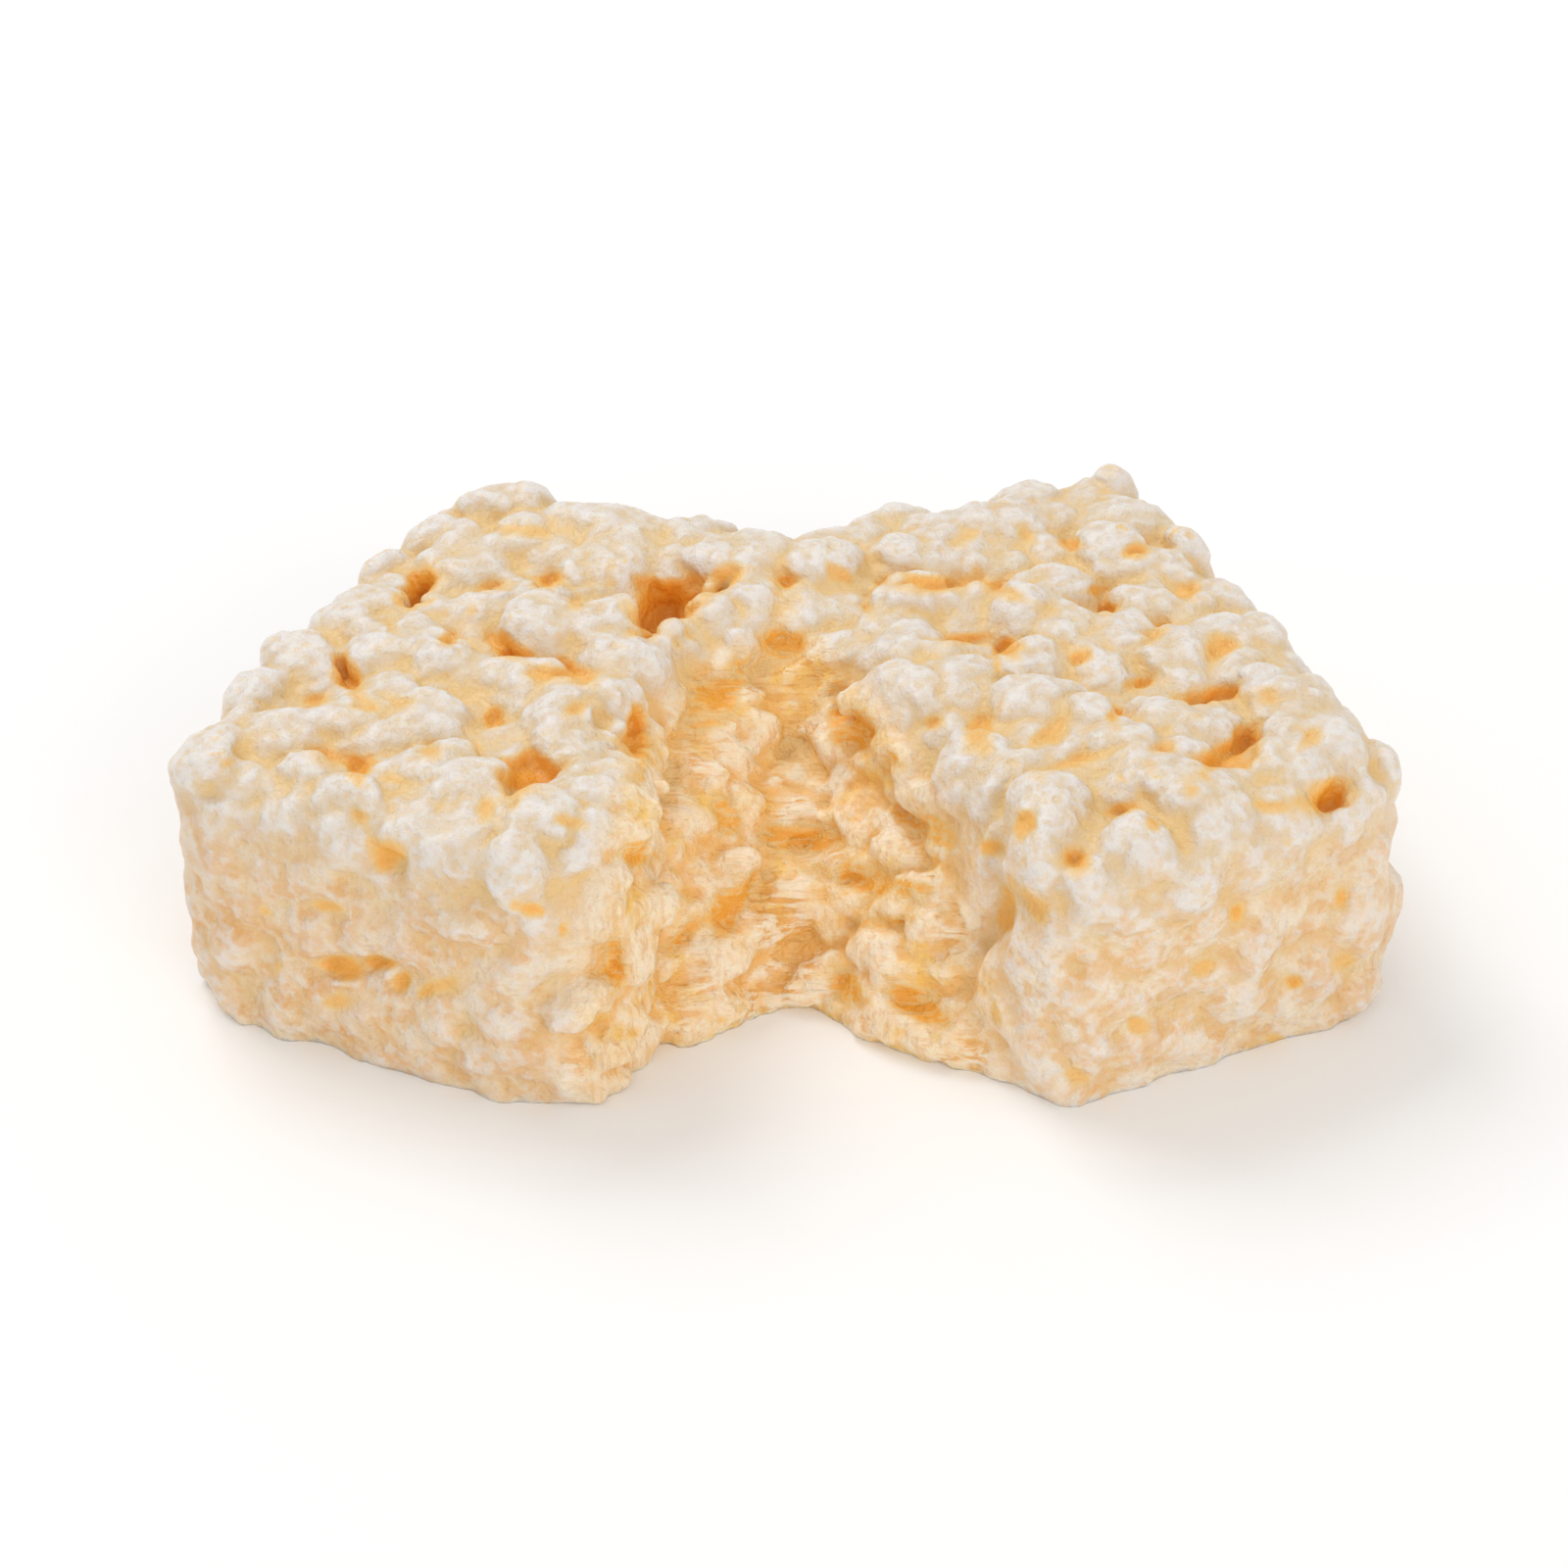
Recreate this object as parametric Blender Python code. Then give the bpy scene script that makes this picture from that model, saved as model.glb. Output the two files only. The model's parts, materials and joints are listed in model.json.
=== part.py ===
"""A puffed rice and marshmallow square, pulled open at the front until its two halves swing apart.

The halves still hold together at a thick neck at the back and along a torn ramp that falls
from the neck to the table. Two blocks and the ramp make the core, open pits are sunk into
it, and whole puffed grains lie all over it. Small voxels then fuse everything into one
solid, as the set marshmallow does, and a flat cut makes the base that it rests on.
The origin is at the centre of the base, +X runs to the right half, +Y to the back, +Z up.
"""
import math
import random

import bmesh
import bpy
from mathutils import Matrix, Vector, noise
from mathutils.bvhtree import BVHTree

MM = 0.001

# Moves the plan that the corners, pits and lumps are measured in onto the part's own origin.
PLAN_TO_ORIGIN = Vector((-0.4, -1.25, 0.0)) * MM

# Each half's core by the corners of its top: across, back and height. The face towards the
# tear is pressed in (or bulges out, where negative) by tear_depths, evenly from back to front.
HALVES = {
    "left": {
        "back_inner": Vector((5.4, 20.4, 21.0)) * MM,
        "back_outer": Vector((-27.6, 29.6, 20.6)) * MM,
        "front_outer": Vector((-47.8, -13.4, 20.6)) * MM,
        "front_inner": Vector((-16.6, -28.2, 22.0)) * MM,
        "tear_depths": (0.0, 3.0 * MM, 5.4 * MM, 4.2 * MM, -1.4 * MM, 0.0),
    },
    "right": {
        "back_inner": Vector((-1.6, 21.6, 21.0)) * MM,
        "back_outer": Vector((29.6, 31.4, 20.6)) * MM,
        "front_outer": Vector((48.2, -14.0, 20.6)) * MM,
        "front_inner": Vector((18.6, -28.6, 22.0)) * MM,
        "tear_depths": (0.0, 0.6 * MM, 0.2 * MM, 0.4 * MM, 0.8 * MM, 0.0),
    },
}
EDGE_RADII = Vector((6.0, 6.0, 2.8)) * MM
BELOW_FLOOR = 1.6 * MM
CORE_CELL = 2.4 * MM
WIDE_WAVES = 11 * MM
FINE_WAVES = 4.5 * MM

# The torn ramp fans out from the hinge: whole as far as the neck, then falling to its foot,
# which is nearest at foot_angle and curves out to the walls of the tear.
HINGE = Vector((1.9, 18.6, 0.0)) * MM
NECK = 9.5 * MM
RAMP_TOP = 20.9 * MM
RAMP_FOOT = 31.8 * MM
RAMP_FOOT_AT_WALL = 43.0 * MM
FOOT_ANGLE = math.radians(-2)
WALL_ANGLE = math.radians(20)
RAMP_SIDES = (math.radians(-36), math.radians(32))
RAMP_HEIGHTS = (1.0, 0.86, 0.68, 0.56, 0.47, 0.34, 0.0)
WALL_LIFT = 5.0 * MM
RAMP_CELLS = (22, 16, 6)

# A puffed grain of rice: half its length, width and height.
GRAIN = Vector((3.1, 1.8, 1.8)) * MM

# How the grains lie on each kind of face: the spacing of their middles, how far a middle
# stands above the core, the steepest tilt in degrees, and a grain's height against a whole one.
# Each middle also lies up to UNEVEN_RISE higher or lower than its neighbours.
FACES = {
    "top": {"spacing": 4.2 * MM, "rise": 0.0 * MM, "tilt": 22, "height": 1.0},
    "side": {"spacing": 4.2 * MM, "rise": -0.5 * MM, "tilt": 10, "height": 0.8},
    "torn": {"spacing": 4.0 * MM, "rise": 0.2 * MM, "tilt": 60, "height": 1.0},
}
UNEVEN_RISE = 0.8 * MM
PIT_MARGIN = 1.2 * MM
TRIES = 9000

# Open pits in the top: across, back, half its width, half its length, and its depth, in mm.
PITS = (
    (-30.0, 16.3, 1.8, 2.8, 5.0),
    (-9.5, 11.6, 3.1, 3.6, 7.5),
    (-19.6, -14.1, 2.1, 2.8, 6.0),
    (-33.9, -8.3, 2.8, 2.3, 4.5),
    (-22.2, 5.0, 1.5, 2.0, 4.0),
    (-17.3, 0.6, 3.0, 1.4, 3.6),
    (-27.8, 7.3, 1.3, 2.0, 3.4),
    (-22.8, -4.9, 1.2, 1.9, 3.6),
    (-26.9, -10.1, 1.3, 1.7, 3.4),
    (-19.2, 15.1, 1.2, 1.6, 3.0),
    (16.8, 5.8, 2.8, 2.3, 5.0),
    (33.9, -8.2, 2.4, 2.9, 6.0),
    (39.8, -12.0, 2.0, 2.3, 5.5),
    (33.9, 0.4, 3.3, 1.9, 4.4),
    (24.3, -3.9, 1.2, 2.1, 3.8),
    (27.0, -18.6, 1.7, 1.5, 3.6),
    (21.5, -23.6, 1.7, 1.6, 3.6),
    (25.5, 14.3, 1.6, 1.9, 3.4),
    (12.8, 14.6, 2.3, 1.2, 3.0),
    (34.4, 7.9, 1.8, 1.9, 3.2),
)

# Clusters of grains that stand proud of the top: across, back, half sizes across, back and up.
LUMPS = (
    (-22.8, 27.9, 3.7, 2.8, 2.6),
    (-13.2, -17.6, 3.6, 4.6, 2.4),
    (-38.6, -8.9, 3.7, 2.6, 2.0),
    (-39.3, 3.4, 3.2, 3.2, 2.2),
    (28.0, 29.4, 1.4, 1.6, 2.9),
    (18.9, -19.2, 2.6, 3.6, 2.2),
    (19.7, -5.2, 3.7, 2.6, 1.9),
    (21.8, 12.2, 2.9, 2.4, 1.8),
    (10.3, 10.6, 3.4, 2.3, 1.7),
    (43.0, -10.4, 2.0, 2.8, 2.0),
    (38.2, 6.4, 2.4, 2.8, 2.0),
)

VOXEL = 1.0 * MM
SMOOTHING = 0.2
TRIANGLES = 12700
SEED = 26


def material_of_treat():
    """Pale cream, slightly glossy from the set marshmallow."""
    material = bpy.data.materials.new("crisped_rice")
    material.use_nodes = True
    shader = material.node_tree.nodes["Principled BSDF"]
    shader.inputs["Base Color"].default_value = (0.79, 0.60, 0.41, 1.0)
    shader.inputs["Roughness"].default_value = 0.55
    shader.inputs["Metallic"].default_value = 0.0
    return material


def object_of(name, bm):
    """Links the bmesh's shape as an object of its own, with its faces turned out."""
    bmesh.ops.recalc_face_normals(bm, faces=bm.faces[:])
    mesh = bpy.data.meshes.new(name)
    bm.to_mesh(mesh)
    bm.free()
    obj = bpy.data.objects.new(name, mesh)
    bpy.context.scene.collection.objects.link(obj)
    return obj


def along(values, share):
    """The value a share of the way along a row of evenly spaced ones, joined by straight lines."""
    place = min(max(share, 0.0), 1.0) * (len(values) - 1)
    step = min(int(place), len(values) - 2)
    return values[step] + (values[step + 1] - values[step]) * (place - step)


def rounded(point, size):
    """Pulls a point of a box onto the same box with its upright and top edges rounded."""
    kept = Vector(min(max(p, r), s - r) for p, r, s in zip(point, EDGE_RADII, size))
    kept.z = min(point.z, size.z - EDGE_RADII.z)
    out = Vector(o / r for o, r in zip(point - kept, EDGE_RADII))
    return kept + out.normalized() * EDGE_RADII if out.length > 1 else point


def uneven(point):
    """A smooth push in all directions: a wide one of 1 mm, with a finer one on top."""
    return (noise.noise_vector(point / WIDE_WAVES) + noise.noise_vector(point / FINE_WAVES) * 0.6) * MM


def cut_block(cells):
    """A block from 0 to 1 along each axis, with its faces cut into a grid of cells."""
    bm = bmesh.new()
    bmesh.ops.create_cube(bm, size=1.0)
    for axis, count in enumerate(cells):
        edges = [e for e in bm.edges if abs((e.verts[0].co - e.verts[1].co)[axis]) > 0.5]
        bmesh.ops.subdivide_edges(bm, edges=edges, cuts=count - 1, use_grid_fill=True)
    bmesh.ops.translate(bm, verts=bm.verts, vec=(0.5, 0.5, 0.5))
    return bm


def half_block(half):
    """One half's core: a block with rounded edges, stretched to the corners of its plan."""
    back = half["back_outer"] - half["back_inner"]
    front = half["front_outer"] - half["front_inner"]
    inner = half["front_inner"] - half["back_inner"]
    size = Vector(((back.xy.length + front.xy.length) / 2, inner.xy.length, 20 * MM + BELOW_FLOOR))
    bm = cut_block([round(length / CORE_CELL) for length in size])
    for vert in bm.verts:
        point = rounded(vert.co * size, size)
        out, forward, up = (p / s for p, s in zip(point, size))
        at_back = half["back_inner"] + back * out
        at_front = half["front_inner"] + front * out
        place = at_back.lerp(at_front, forward)
        place.z = up * (place.z + BELOW_FLOOR) - BELOW_FLOOR
        pressed = along(half["tear_depths"], forward) * (1 - out) ** 2
        place += back.normalized() * pressed
        vert.co = place + uneven(place) + PLAN_TO_ORIGIN
    return object_of("half_block", bm)


def ramp_fan():
    """The torn ramp's core: a fan round the hinge, with a ragged skin and a flat underside."""
    bm = cut_block(RAMP_CELLS)
    for vert in bm.verts:
        across, outwards, up = vert.co
        angle = along(RAMP_SIDES, across)
        to_wall = min(1.0, abs(angle - FOOT_ANGLE) / WALL_ANGLE)
        foot = RAMP_FOOT + (RAMP_FOOT_AT_WALL - RAMP_FOOT) * to_wall**1.5
        radius = along((1 * MM, foot * 1.03), outwards)
        fall = (radius - NECK) / (foot - NECK)
        height = RAMP_TOP * along(RAMP_HEIGHTS, fall)
        height += WALL_LIFT * max(0.0, to_wall - 0.4) * min(1.0, max(0.0, fall * 2.5))
        place = HINGE + Vector((math.sin(angle) * radius, -math.cos(angle) * radius, height))
        place += uneven(place) * 1.2
        place.z = along((-BELOW_FLOOR, place.z), up)
        vert.co = place + PLAN_TO_ORIGIN
    return object_of("ramp_fan", bm)


def ellipsoid(place, turn, size):
    """A few-sided ellipsoid: turned, and with the given half sizes."""
    bm = bmesh.new()
    bmesh.ops.create_uvsphere(bm, u_segments=10, v_segments=6, radius=1.0)
    bm.transform(Matrix.Translation(place) @ turn.to_4x4() @ Matrix.Diagonal(size.to_4d()))
    return object_of("ellipsoid", bm)


def face_kind(point, normal):
    """Names the kind of face that a point of the core lies on."""
    spoke = point - HINGE - PLAN_TO_ORIGIN
    angle = math.atan2(spoke.x, -spoke.y)
    if abs(angle - FOOT_ANGLE / 2) < WALL_ANGLE * 1.25 and spoke.xy.length > NECK and normal.z < 0.9:
        return "torn"
    return "top" if normal.z > 0.6 else "side"


def in_pit(point, pit):
    """Whether a point lies in a pit, or so near its wall that a grain there would fill it."""
    middle, size = pit
    return Vector(o / (s + PIT_MARGIN) for o, s in zip(point - middle, size)).length < 1


def grain_places(core, pits, rng):
    """Places for the grains: points spread over the core, clear of the pits and each other."""
    core.data.calc_loop_triangles()
    triangles = [t for t in core.data.loop_triangles if t.normal.z > -0.6]
    places = []
    for triangle in rng.choices(triangles, weights=[t.area for t in triangles], k=TRIES):
        first, second = sorted((rng.random(), rng.random()))
        corners = [core.data.vertices[i].co for i in triangle.vertices]
        point = corners[0] * first + corners[1] * (second - first) + corners[2] * (1 - second)
        kind = face_kind(point, triangle.normal)
        spacing = FACES[kind]["spacing"] * rng.uniform(0.85, 1.1)
        if point.z < 0.6 * MM or any(in_pit(point, pit) for pit in pits):
            continue
        if all((point - other).length > spacing for other, _, _ in places):
            places.append((point, triangle.normal.copy(), kind))
    return places


def grain(point, normal, kind, rng):
    """One puffed grain, part sunk in the face that it lies on."""
    rule = FACES[kind]
    size = Vector(half * rng.uniform(0.82, 1.2) for half in GRAIN)
    size.z *= rule["height"]
    upright = normal.to_track_quat("Z", "Y").to_matrix()
    spin = Matrix.Rotation(rng.uniform(0, math.tau), 3, "Z")
    tilt = Matrix.Rotation(math.radians(rng.uniform(-1, 1) * rule["tilt"]), 3, "Y")
    rise = rule["rise"] + rng.uniform(-1, 1) * UNEVEN_RISE
    return ellipsoid(point + normal * rise, upright @ spin @ tilt, size)


def tree_of(obj):
    """A search tree over an object's faces."""
    mesh = obj.data
    return BVHTree.FromPolygons([v.co for v in mesh.vertices], [p.vertices for p in mesh.polygons])


def on_top(tree, across, back):
    """The point of the top that is nearest to a place just above it, given in mm in the plan."""
    return tree.find_nearest(Vector((across, back, 24.0)) * MM + PLAN_TO_ORIGIN)[0]


def boolean(base, operation, others):
    """Joins or cuts base with all the others in one Boolean, applies it and removes them."""
    group = bpy.data.collections.new(operation)
    for other in others:
        group.objects.link(other)
    modifier = base.modifiers.new(operation, "BOOLEAN")
    modifier.operation = operation
    modifier.operand_type = "COLLECTION"
    modifier.collection = group
    modifier.solver = "EXACT"
    apply_modifiers(base)
    for other in others:
        bpy.data.objects.remove(other)
    bpy.data.collections.remove(group)


def apply_modifiers(obj):
    """Gives the object the mesh that its modifiers make, and clears them."""
    graph = bpy.context.evaluated_depsgraph_get()
    obj.data = bpy.data.meshes.new_from_object(obj.evaluated_get(graph))
    obj.modifiers.clear()


def join(base, others):
    """Puts the others' shells into base's mesh, as they are, and removes them."""
    bm = bmesh.new()
    for obj in (base, *others):
        bm.from_mesh(obj.data)
    bm.to_mesh(base.data)
    bm.free()
    for other in others:
        bpy.data.objects.remove(other)


def keep_outer_skin(obj):
    """Drops loose scraps and the walls of sealed hollows: only the largest skin stays.

    The edges are put in the order of their points, as the order that a remesh leaves them in
    depends on the computer's threads, and thinning out follows it.
    """
    bm = bmesh.new()
    bm.from_mesh(obj.data)
    left = set(bm.verts)
    largest = set()
    while left:
        grown = {left.pop()}
        edge = list(grown)
        while edge:
            near = {e.other_vert(v) for v in edge for e in v.link_edges} & left
            left -= near
            grown |= near
            edge = list(near)
        largest = max(largest, grown, key=len)
    bmesh.ops.delete(bm, geom=[v for v in bm.verts if v not in largest], context="VERTS")
    bm.verts.index_update()
    bm.edges.sort(key=lambda e: min(v.index for v in e.verts) * len(bm.verts) + max(v.index for v in e.verts))
    bm.to_mesh(obj.data)
    bm.free()


def fuse_into_one(obj):
    """Fuses the shells by voxels, keeps the outer skin, and thins its triangles out."""
    remesh = obj.modifiers.new("fuse", "REMESH")
    remesh.mode = "VOXEL"
    remesh.voxel_size = VOXEL
    apply_modifiers(obj)
    keep_outer_skin(obj)
    soften = obj.modifiers.new("soften", "SMOOTH")
    soften.factor = SMOOTHING
    thin = obj.modifiers.new("thin", "DECIMATE")
    thin.ratio = TRIANGLES / (2 * len(obj.data.polygons))
    apply_modifiers(obj)


def trim_base(obj):
    """Cuts the base flat on the table, and centres the mesh over the origin."""
    bm = bmesh.new()
    bmesh.ops.create_cube(bm, size=1.0)
    bmesh.ops.scale(bm, verts=bm.verts, vec=(200 * MM, 200 * MM, 20 * MM))
    bmesh.ops.translate(bm, verts=bm.verts, vec=(0, 0, -10 * MM))
    boolean(obj, "DIFFERENCE", [object_of("below_floor", bm)])
    keep_outer_skin(obj)
    corners = [Vector(corner) for corner in obj.bound_box]
    low, high = (Vector(f(corner[i] for corner in corners) for i in range(3)) for f in (min, max))
    obj.data.transform(Matrix.Translation((-(low.x + high.x) / 2, -(low.y + high.y) / 2, 0)))


def dress(obj, material):
    """Gives the finished mesh its material, smooth everywhere but on the flat base."""
    for face in obj.data.polygons:
        face.use_smooth = face.center.z > 0.05 * MM
    obj.data.materials.clear()
    obj.data.materials.append(material)


def build_treat():
    """The whole treat: the core with its pits, then the grains and lumps fused over it."""
    rng = random.Random(SEED)
    treat = ramp_fan()
    treat.name = "treat"
    boolean(treat, "UNION", [half_block(half) for half in HALVES.values()])
    whole = tree_of(treat)
    pits = [
        (on_top(whole, across, back), Vector((half_width, half_length, depth)) * MM)
        for across, back, half_width, half_length, depth in PITS
    ]
    grains = [grain(*place, rng) for place in grain_places(treat, pits, rng)]
    boolean(treat, "DIFFERENCE", [ellipsoid(middle, Matrix.Identity(3), size) for middle, size in pits])
    lumps = [
        ellipsoid(on_top(whole, across, back), Matrix.Identity(3), Vector(half_sizes) * MM)
        for across, back, *half_sizes in LUMPS
    ]
    join(treat, grains + lumps)
    fuse_into_one(treat)
    trim_base(treat)
    dress(treat, material_of_treat())


def main():
    for obj in list(bpy.data.objects):
        bpy.data.objects.remove(obj)
    noise.seed_set(SEED)
    build_treat()


main()
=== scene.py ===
"""Looks of a puffed rice and marshmallow square that has been pulled open at the front.

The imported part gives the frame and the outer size. Its one solid is replaced here by the same
square at a much finer grain: puffed grains lie over the same core, melted marshmallow fuses
them into one skin, and pits, cracks and strings are worked into that skin.

Lengths are metres, and the frame is the part's own: the origin at the centre of the base, +X
to the right half, +Y to the back, +Z up. Places measured in the photograph are given in its
own pixels, and are thrown onto the square along the photograph's lines of sight.
"""
from __future__ import annotations

import json
import logging
import math
import random
from collections.abc import Iterable, Sequence
from dataclasses import dataclass, field
from enum import Enum
from functools import cached_property

import bmesh
import bpy
import numpy as np
from mathutils import Matrix, Vector, noise
from mathutils.bvhtree import BVHTree

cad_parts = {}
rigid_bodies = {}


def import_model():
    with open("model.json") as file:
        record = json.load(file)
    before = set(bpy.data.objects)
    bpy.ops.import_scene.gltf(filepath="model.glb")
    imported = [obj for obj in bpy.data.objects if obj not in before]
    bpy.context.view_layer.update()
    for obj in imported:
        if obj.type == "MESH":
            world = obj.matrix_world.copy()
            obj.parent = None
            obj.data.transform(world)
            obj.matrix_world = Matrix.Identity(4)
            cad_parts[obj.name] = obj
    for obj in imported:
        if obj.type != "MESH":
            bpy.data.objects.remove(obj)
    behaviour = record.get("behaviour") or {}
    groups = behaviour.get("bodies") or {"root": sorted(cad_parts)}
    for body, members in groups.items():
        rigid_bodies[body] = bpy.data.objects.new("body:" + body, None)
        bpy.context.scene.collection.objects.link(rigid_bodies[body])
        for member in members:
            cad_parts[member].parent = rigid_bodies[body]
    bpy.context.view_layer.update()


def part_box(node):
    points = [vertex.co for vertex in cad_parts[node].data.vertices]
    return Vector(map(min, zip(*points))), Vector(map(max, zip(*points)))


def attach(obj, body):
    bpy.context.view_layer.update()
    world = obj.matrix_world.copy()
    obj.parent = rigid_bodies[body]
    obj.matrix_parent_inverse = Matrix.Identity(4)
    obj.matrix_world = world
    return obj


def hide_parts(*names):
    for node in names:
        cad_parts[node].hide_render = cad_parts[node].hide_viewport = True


log = logging.getLogger("rice_square")

Triple = tuple[float, float, float]
BMesh = bmesh.types.BMesh
Mesh = bpy.types.Mesh
Object = bpy.types.Object
Socket = bpy.types.NodeSocket

MM = 0.001
SEED = 26

# Moves the plan that the corners, pits and lumps are measured in onto the part's own origin.
PLAN_TO_ORIGIN = Vector((-0.507, -1.241, 0.0)) * MM

# The upright line that the two halves swing on.
HINGE = Vector((1.9, 18.6, 0.0)) * MM

# How far the core reaches below the table, to be cut flat there.
BELOW_FLOOR = 1.6 * MM


class Face(Enum):
    """The kinds of face that the square has."""

    TOP = "top"
    SIDE = "side"
    TORN = "torn"


def mesh_of(name: str, bm: BMesh) -> Mesh:
    """Turns a bmesh into a mesh, and frees it.

    Args:
        name: The mesh's name.
        bm: The shape.

    Returns:
        The mesh.
    """
    mesh = bpy.data.meshes.new(name)
    bm.to_mesh(mesh)
    bm.free()
    return mesh


def link(name: str, data: bpy.types.ID) -> Object:
    """Adds an object to the scene.

    Args:
        name: The object's name.
        data: Its mesh, light or camera.

    Returns:
        The new object, at the origin.
    """
    obj = bpy.data.objects.new(name, data)
    bpy.context.scene.collection.objects.link(obj)
    return obj


def object_of(name: str, bm: BMesh) -> Object:
    """Links a bmesh's shape as an object of its own, with its faces turned out, and frees it."""
    bmesh.ops.recalc_face_normals(bm, faces=bm.faces[:])
    return link(name, mesh_of(name, bm))


def bmesh_of(obj: Object) -> BMesh:
    """A bmesh with a copy of an object's shape."""
    bm = bmesh.new()
    bm.from_mesh(obj.data)
    return bm


def modify(obj: Object, kind: str, **settings: object) -> None:
    """Gives an object the mesh that a modifier makes of it.

    Args:
        obj: The object, which is left without modifiers.
        kind: The modifier's type.
        settings: The modifier's properties.
    """
    modifier = obj.modifiers.new("step", kind)
    for name, value in settings.items():
        setattr(modifier, name, value)
    graph = bpy.context.evaluated_depsgraph_get()
    old = obj.data
    obj.data = bpy.data.meshes.new_from_object(obj.evaluated_get(graph))
    obj.modifiers.clear()
    bpy.data.meshes.remove(old)


def fuse(obj: Object, voxel: float) -> None:
    """Fuses an object's shells into one skin of voxels of a given size."""
    modify(obj, "REMESH", mode="VOXEL", voxel_size=voxel)


def swell(obj: Object, distance: float) -> None:
    """Moves the skin out along its normals, or in where the distance is negative."""
    modify(obj, "DISPLACE", direction="NORMAL", mid_level=0.0, strength=distance)


def keep_outer_skin(obj: Object) -> None:
    """Drops loose scraps and the walls of sealed hollows: only the largest skin stays.

    The edges are put in the order of their points, as the order that a remesh leaves them in
    depends on the computer's threads, and thinning out follows it.

    Args:
        obj: The object.
    """
    bm = bmesh_of(obj)
    left = set(bm.verts)
    largest: set[bmesh.types.BMVert] = set()
    while left:
        grown = {left.pop()}
        edge = list(grown)
        while edge:
            near = {e.other_vert(v) for v in edge for e in v.link_edges} & left
            left -= near
            grown |= near
            edge = list(near)
        largest = max(largest, grown, key=len)
    bmesh.ops.delete(bm, geom=[v for v in bm.verts if v not in largest], context="VERTS")
    bm.verts.index_update()
    count = len(bm.verts)
    bm.edges.sort(
        key=lambda e: min(v.index for v in e.verts) * count + max(v.index for v in e.verts)
    )
    bm.to_mesh(obj.data)
    bm.free()


def stand(middle: Vector, normal: Vector, spin: float = 0.0, tilt: float = 0.0) -> Matrix:
    """Stands a frame on a face.

    Args:
        middle: Where the frame's origin goes.
        normal: The face's normal, which becomes the frame's Z; its X runs to the right.
        spin: The turn about Z.
        tilt: The lean about Y.

    Returns:
        The frame's place.
    """
    x_axis = Vector((1.0, 0.0, 0.0)) - normal * normal.x
    if x_axis.length < 0.2:
        x_axis = Vector((0.0, 1.0, 0.0)) - normal * normal.y
    x_axis.normalize()
    turn = Matrix((x_axis, normal.cross(x_axis), normal)).transposed()
    turn = turn @ Matrix.Rotation(spin, 3, "Z") @ Matrix.Rotation(tilt, 3, "Y")
    return Matrix.Translation(middle) @ turn.to_4x4()


def stamp(bm: BMesh, shape: Mesh, place: Matrix, half: Vector) -> None:
    """Adds a copy of a mesh to a bmesh.

    Args:
        bm: Takes the copy.
        shape: The mesh, which reaches about 1 from its origin.
        place: Where the copy goes, and how it is turned.
        half: The half sizes that it is stretched to.
    """
    copy = shape.copy()
    copy.transform(place @ Matrix.Diagonal(half.to_4d()))
    bm.from_mesh(copy)
    bpy.data.meshes.remove(copy)


def tree_of(mesh: Mesh) -> BVHTree:
    """A search tree over a mesh's faces."""
    return BVHTree.FromPolygons([v.co for v in mesh.vertices], [p.vertices for p in mesh.polygons])


def triangles_of(obj: Object) -> int:
    """How many triangles an object's faces make."""
    return sum(len(p.vertices) - 2 for p in obj.data.polygons)


def along(values: Sequence[float], share: float) -> float:
    """Reads a row of evenly spaced values, joined by straight lines.

    Args:
        values: The values.
        share: How far along the row, from 0 to 1.

    Returns:
        The value there.
    """
    place = min(max(share, 0.0), 1.0) * (len(values) - 1)
    step = min(int(place), len(values) - 2)
    return values[step] + (values[step + 1] - values[step]) * (place - step)


def smooth_step(low: float, high: float, value: np.ndarray) -> np.ndarray:
    """Rises smoothly from 0 at low to 1 at high, for each value."""
    share = np.clip((value - low) / (high - low), 0.0, 1.0)
    return share * share * (3.0 - 2.0 * share)


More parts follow.
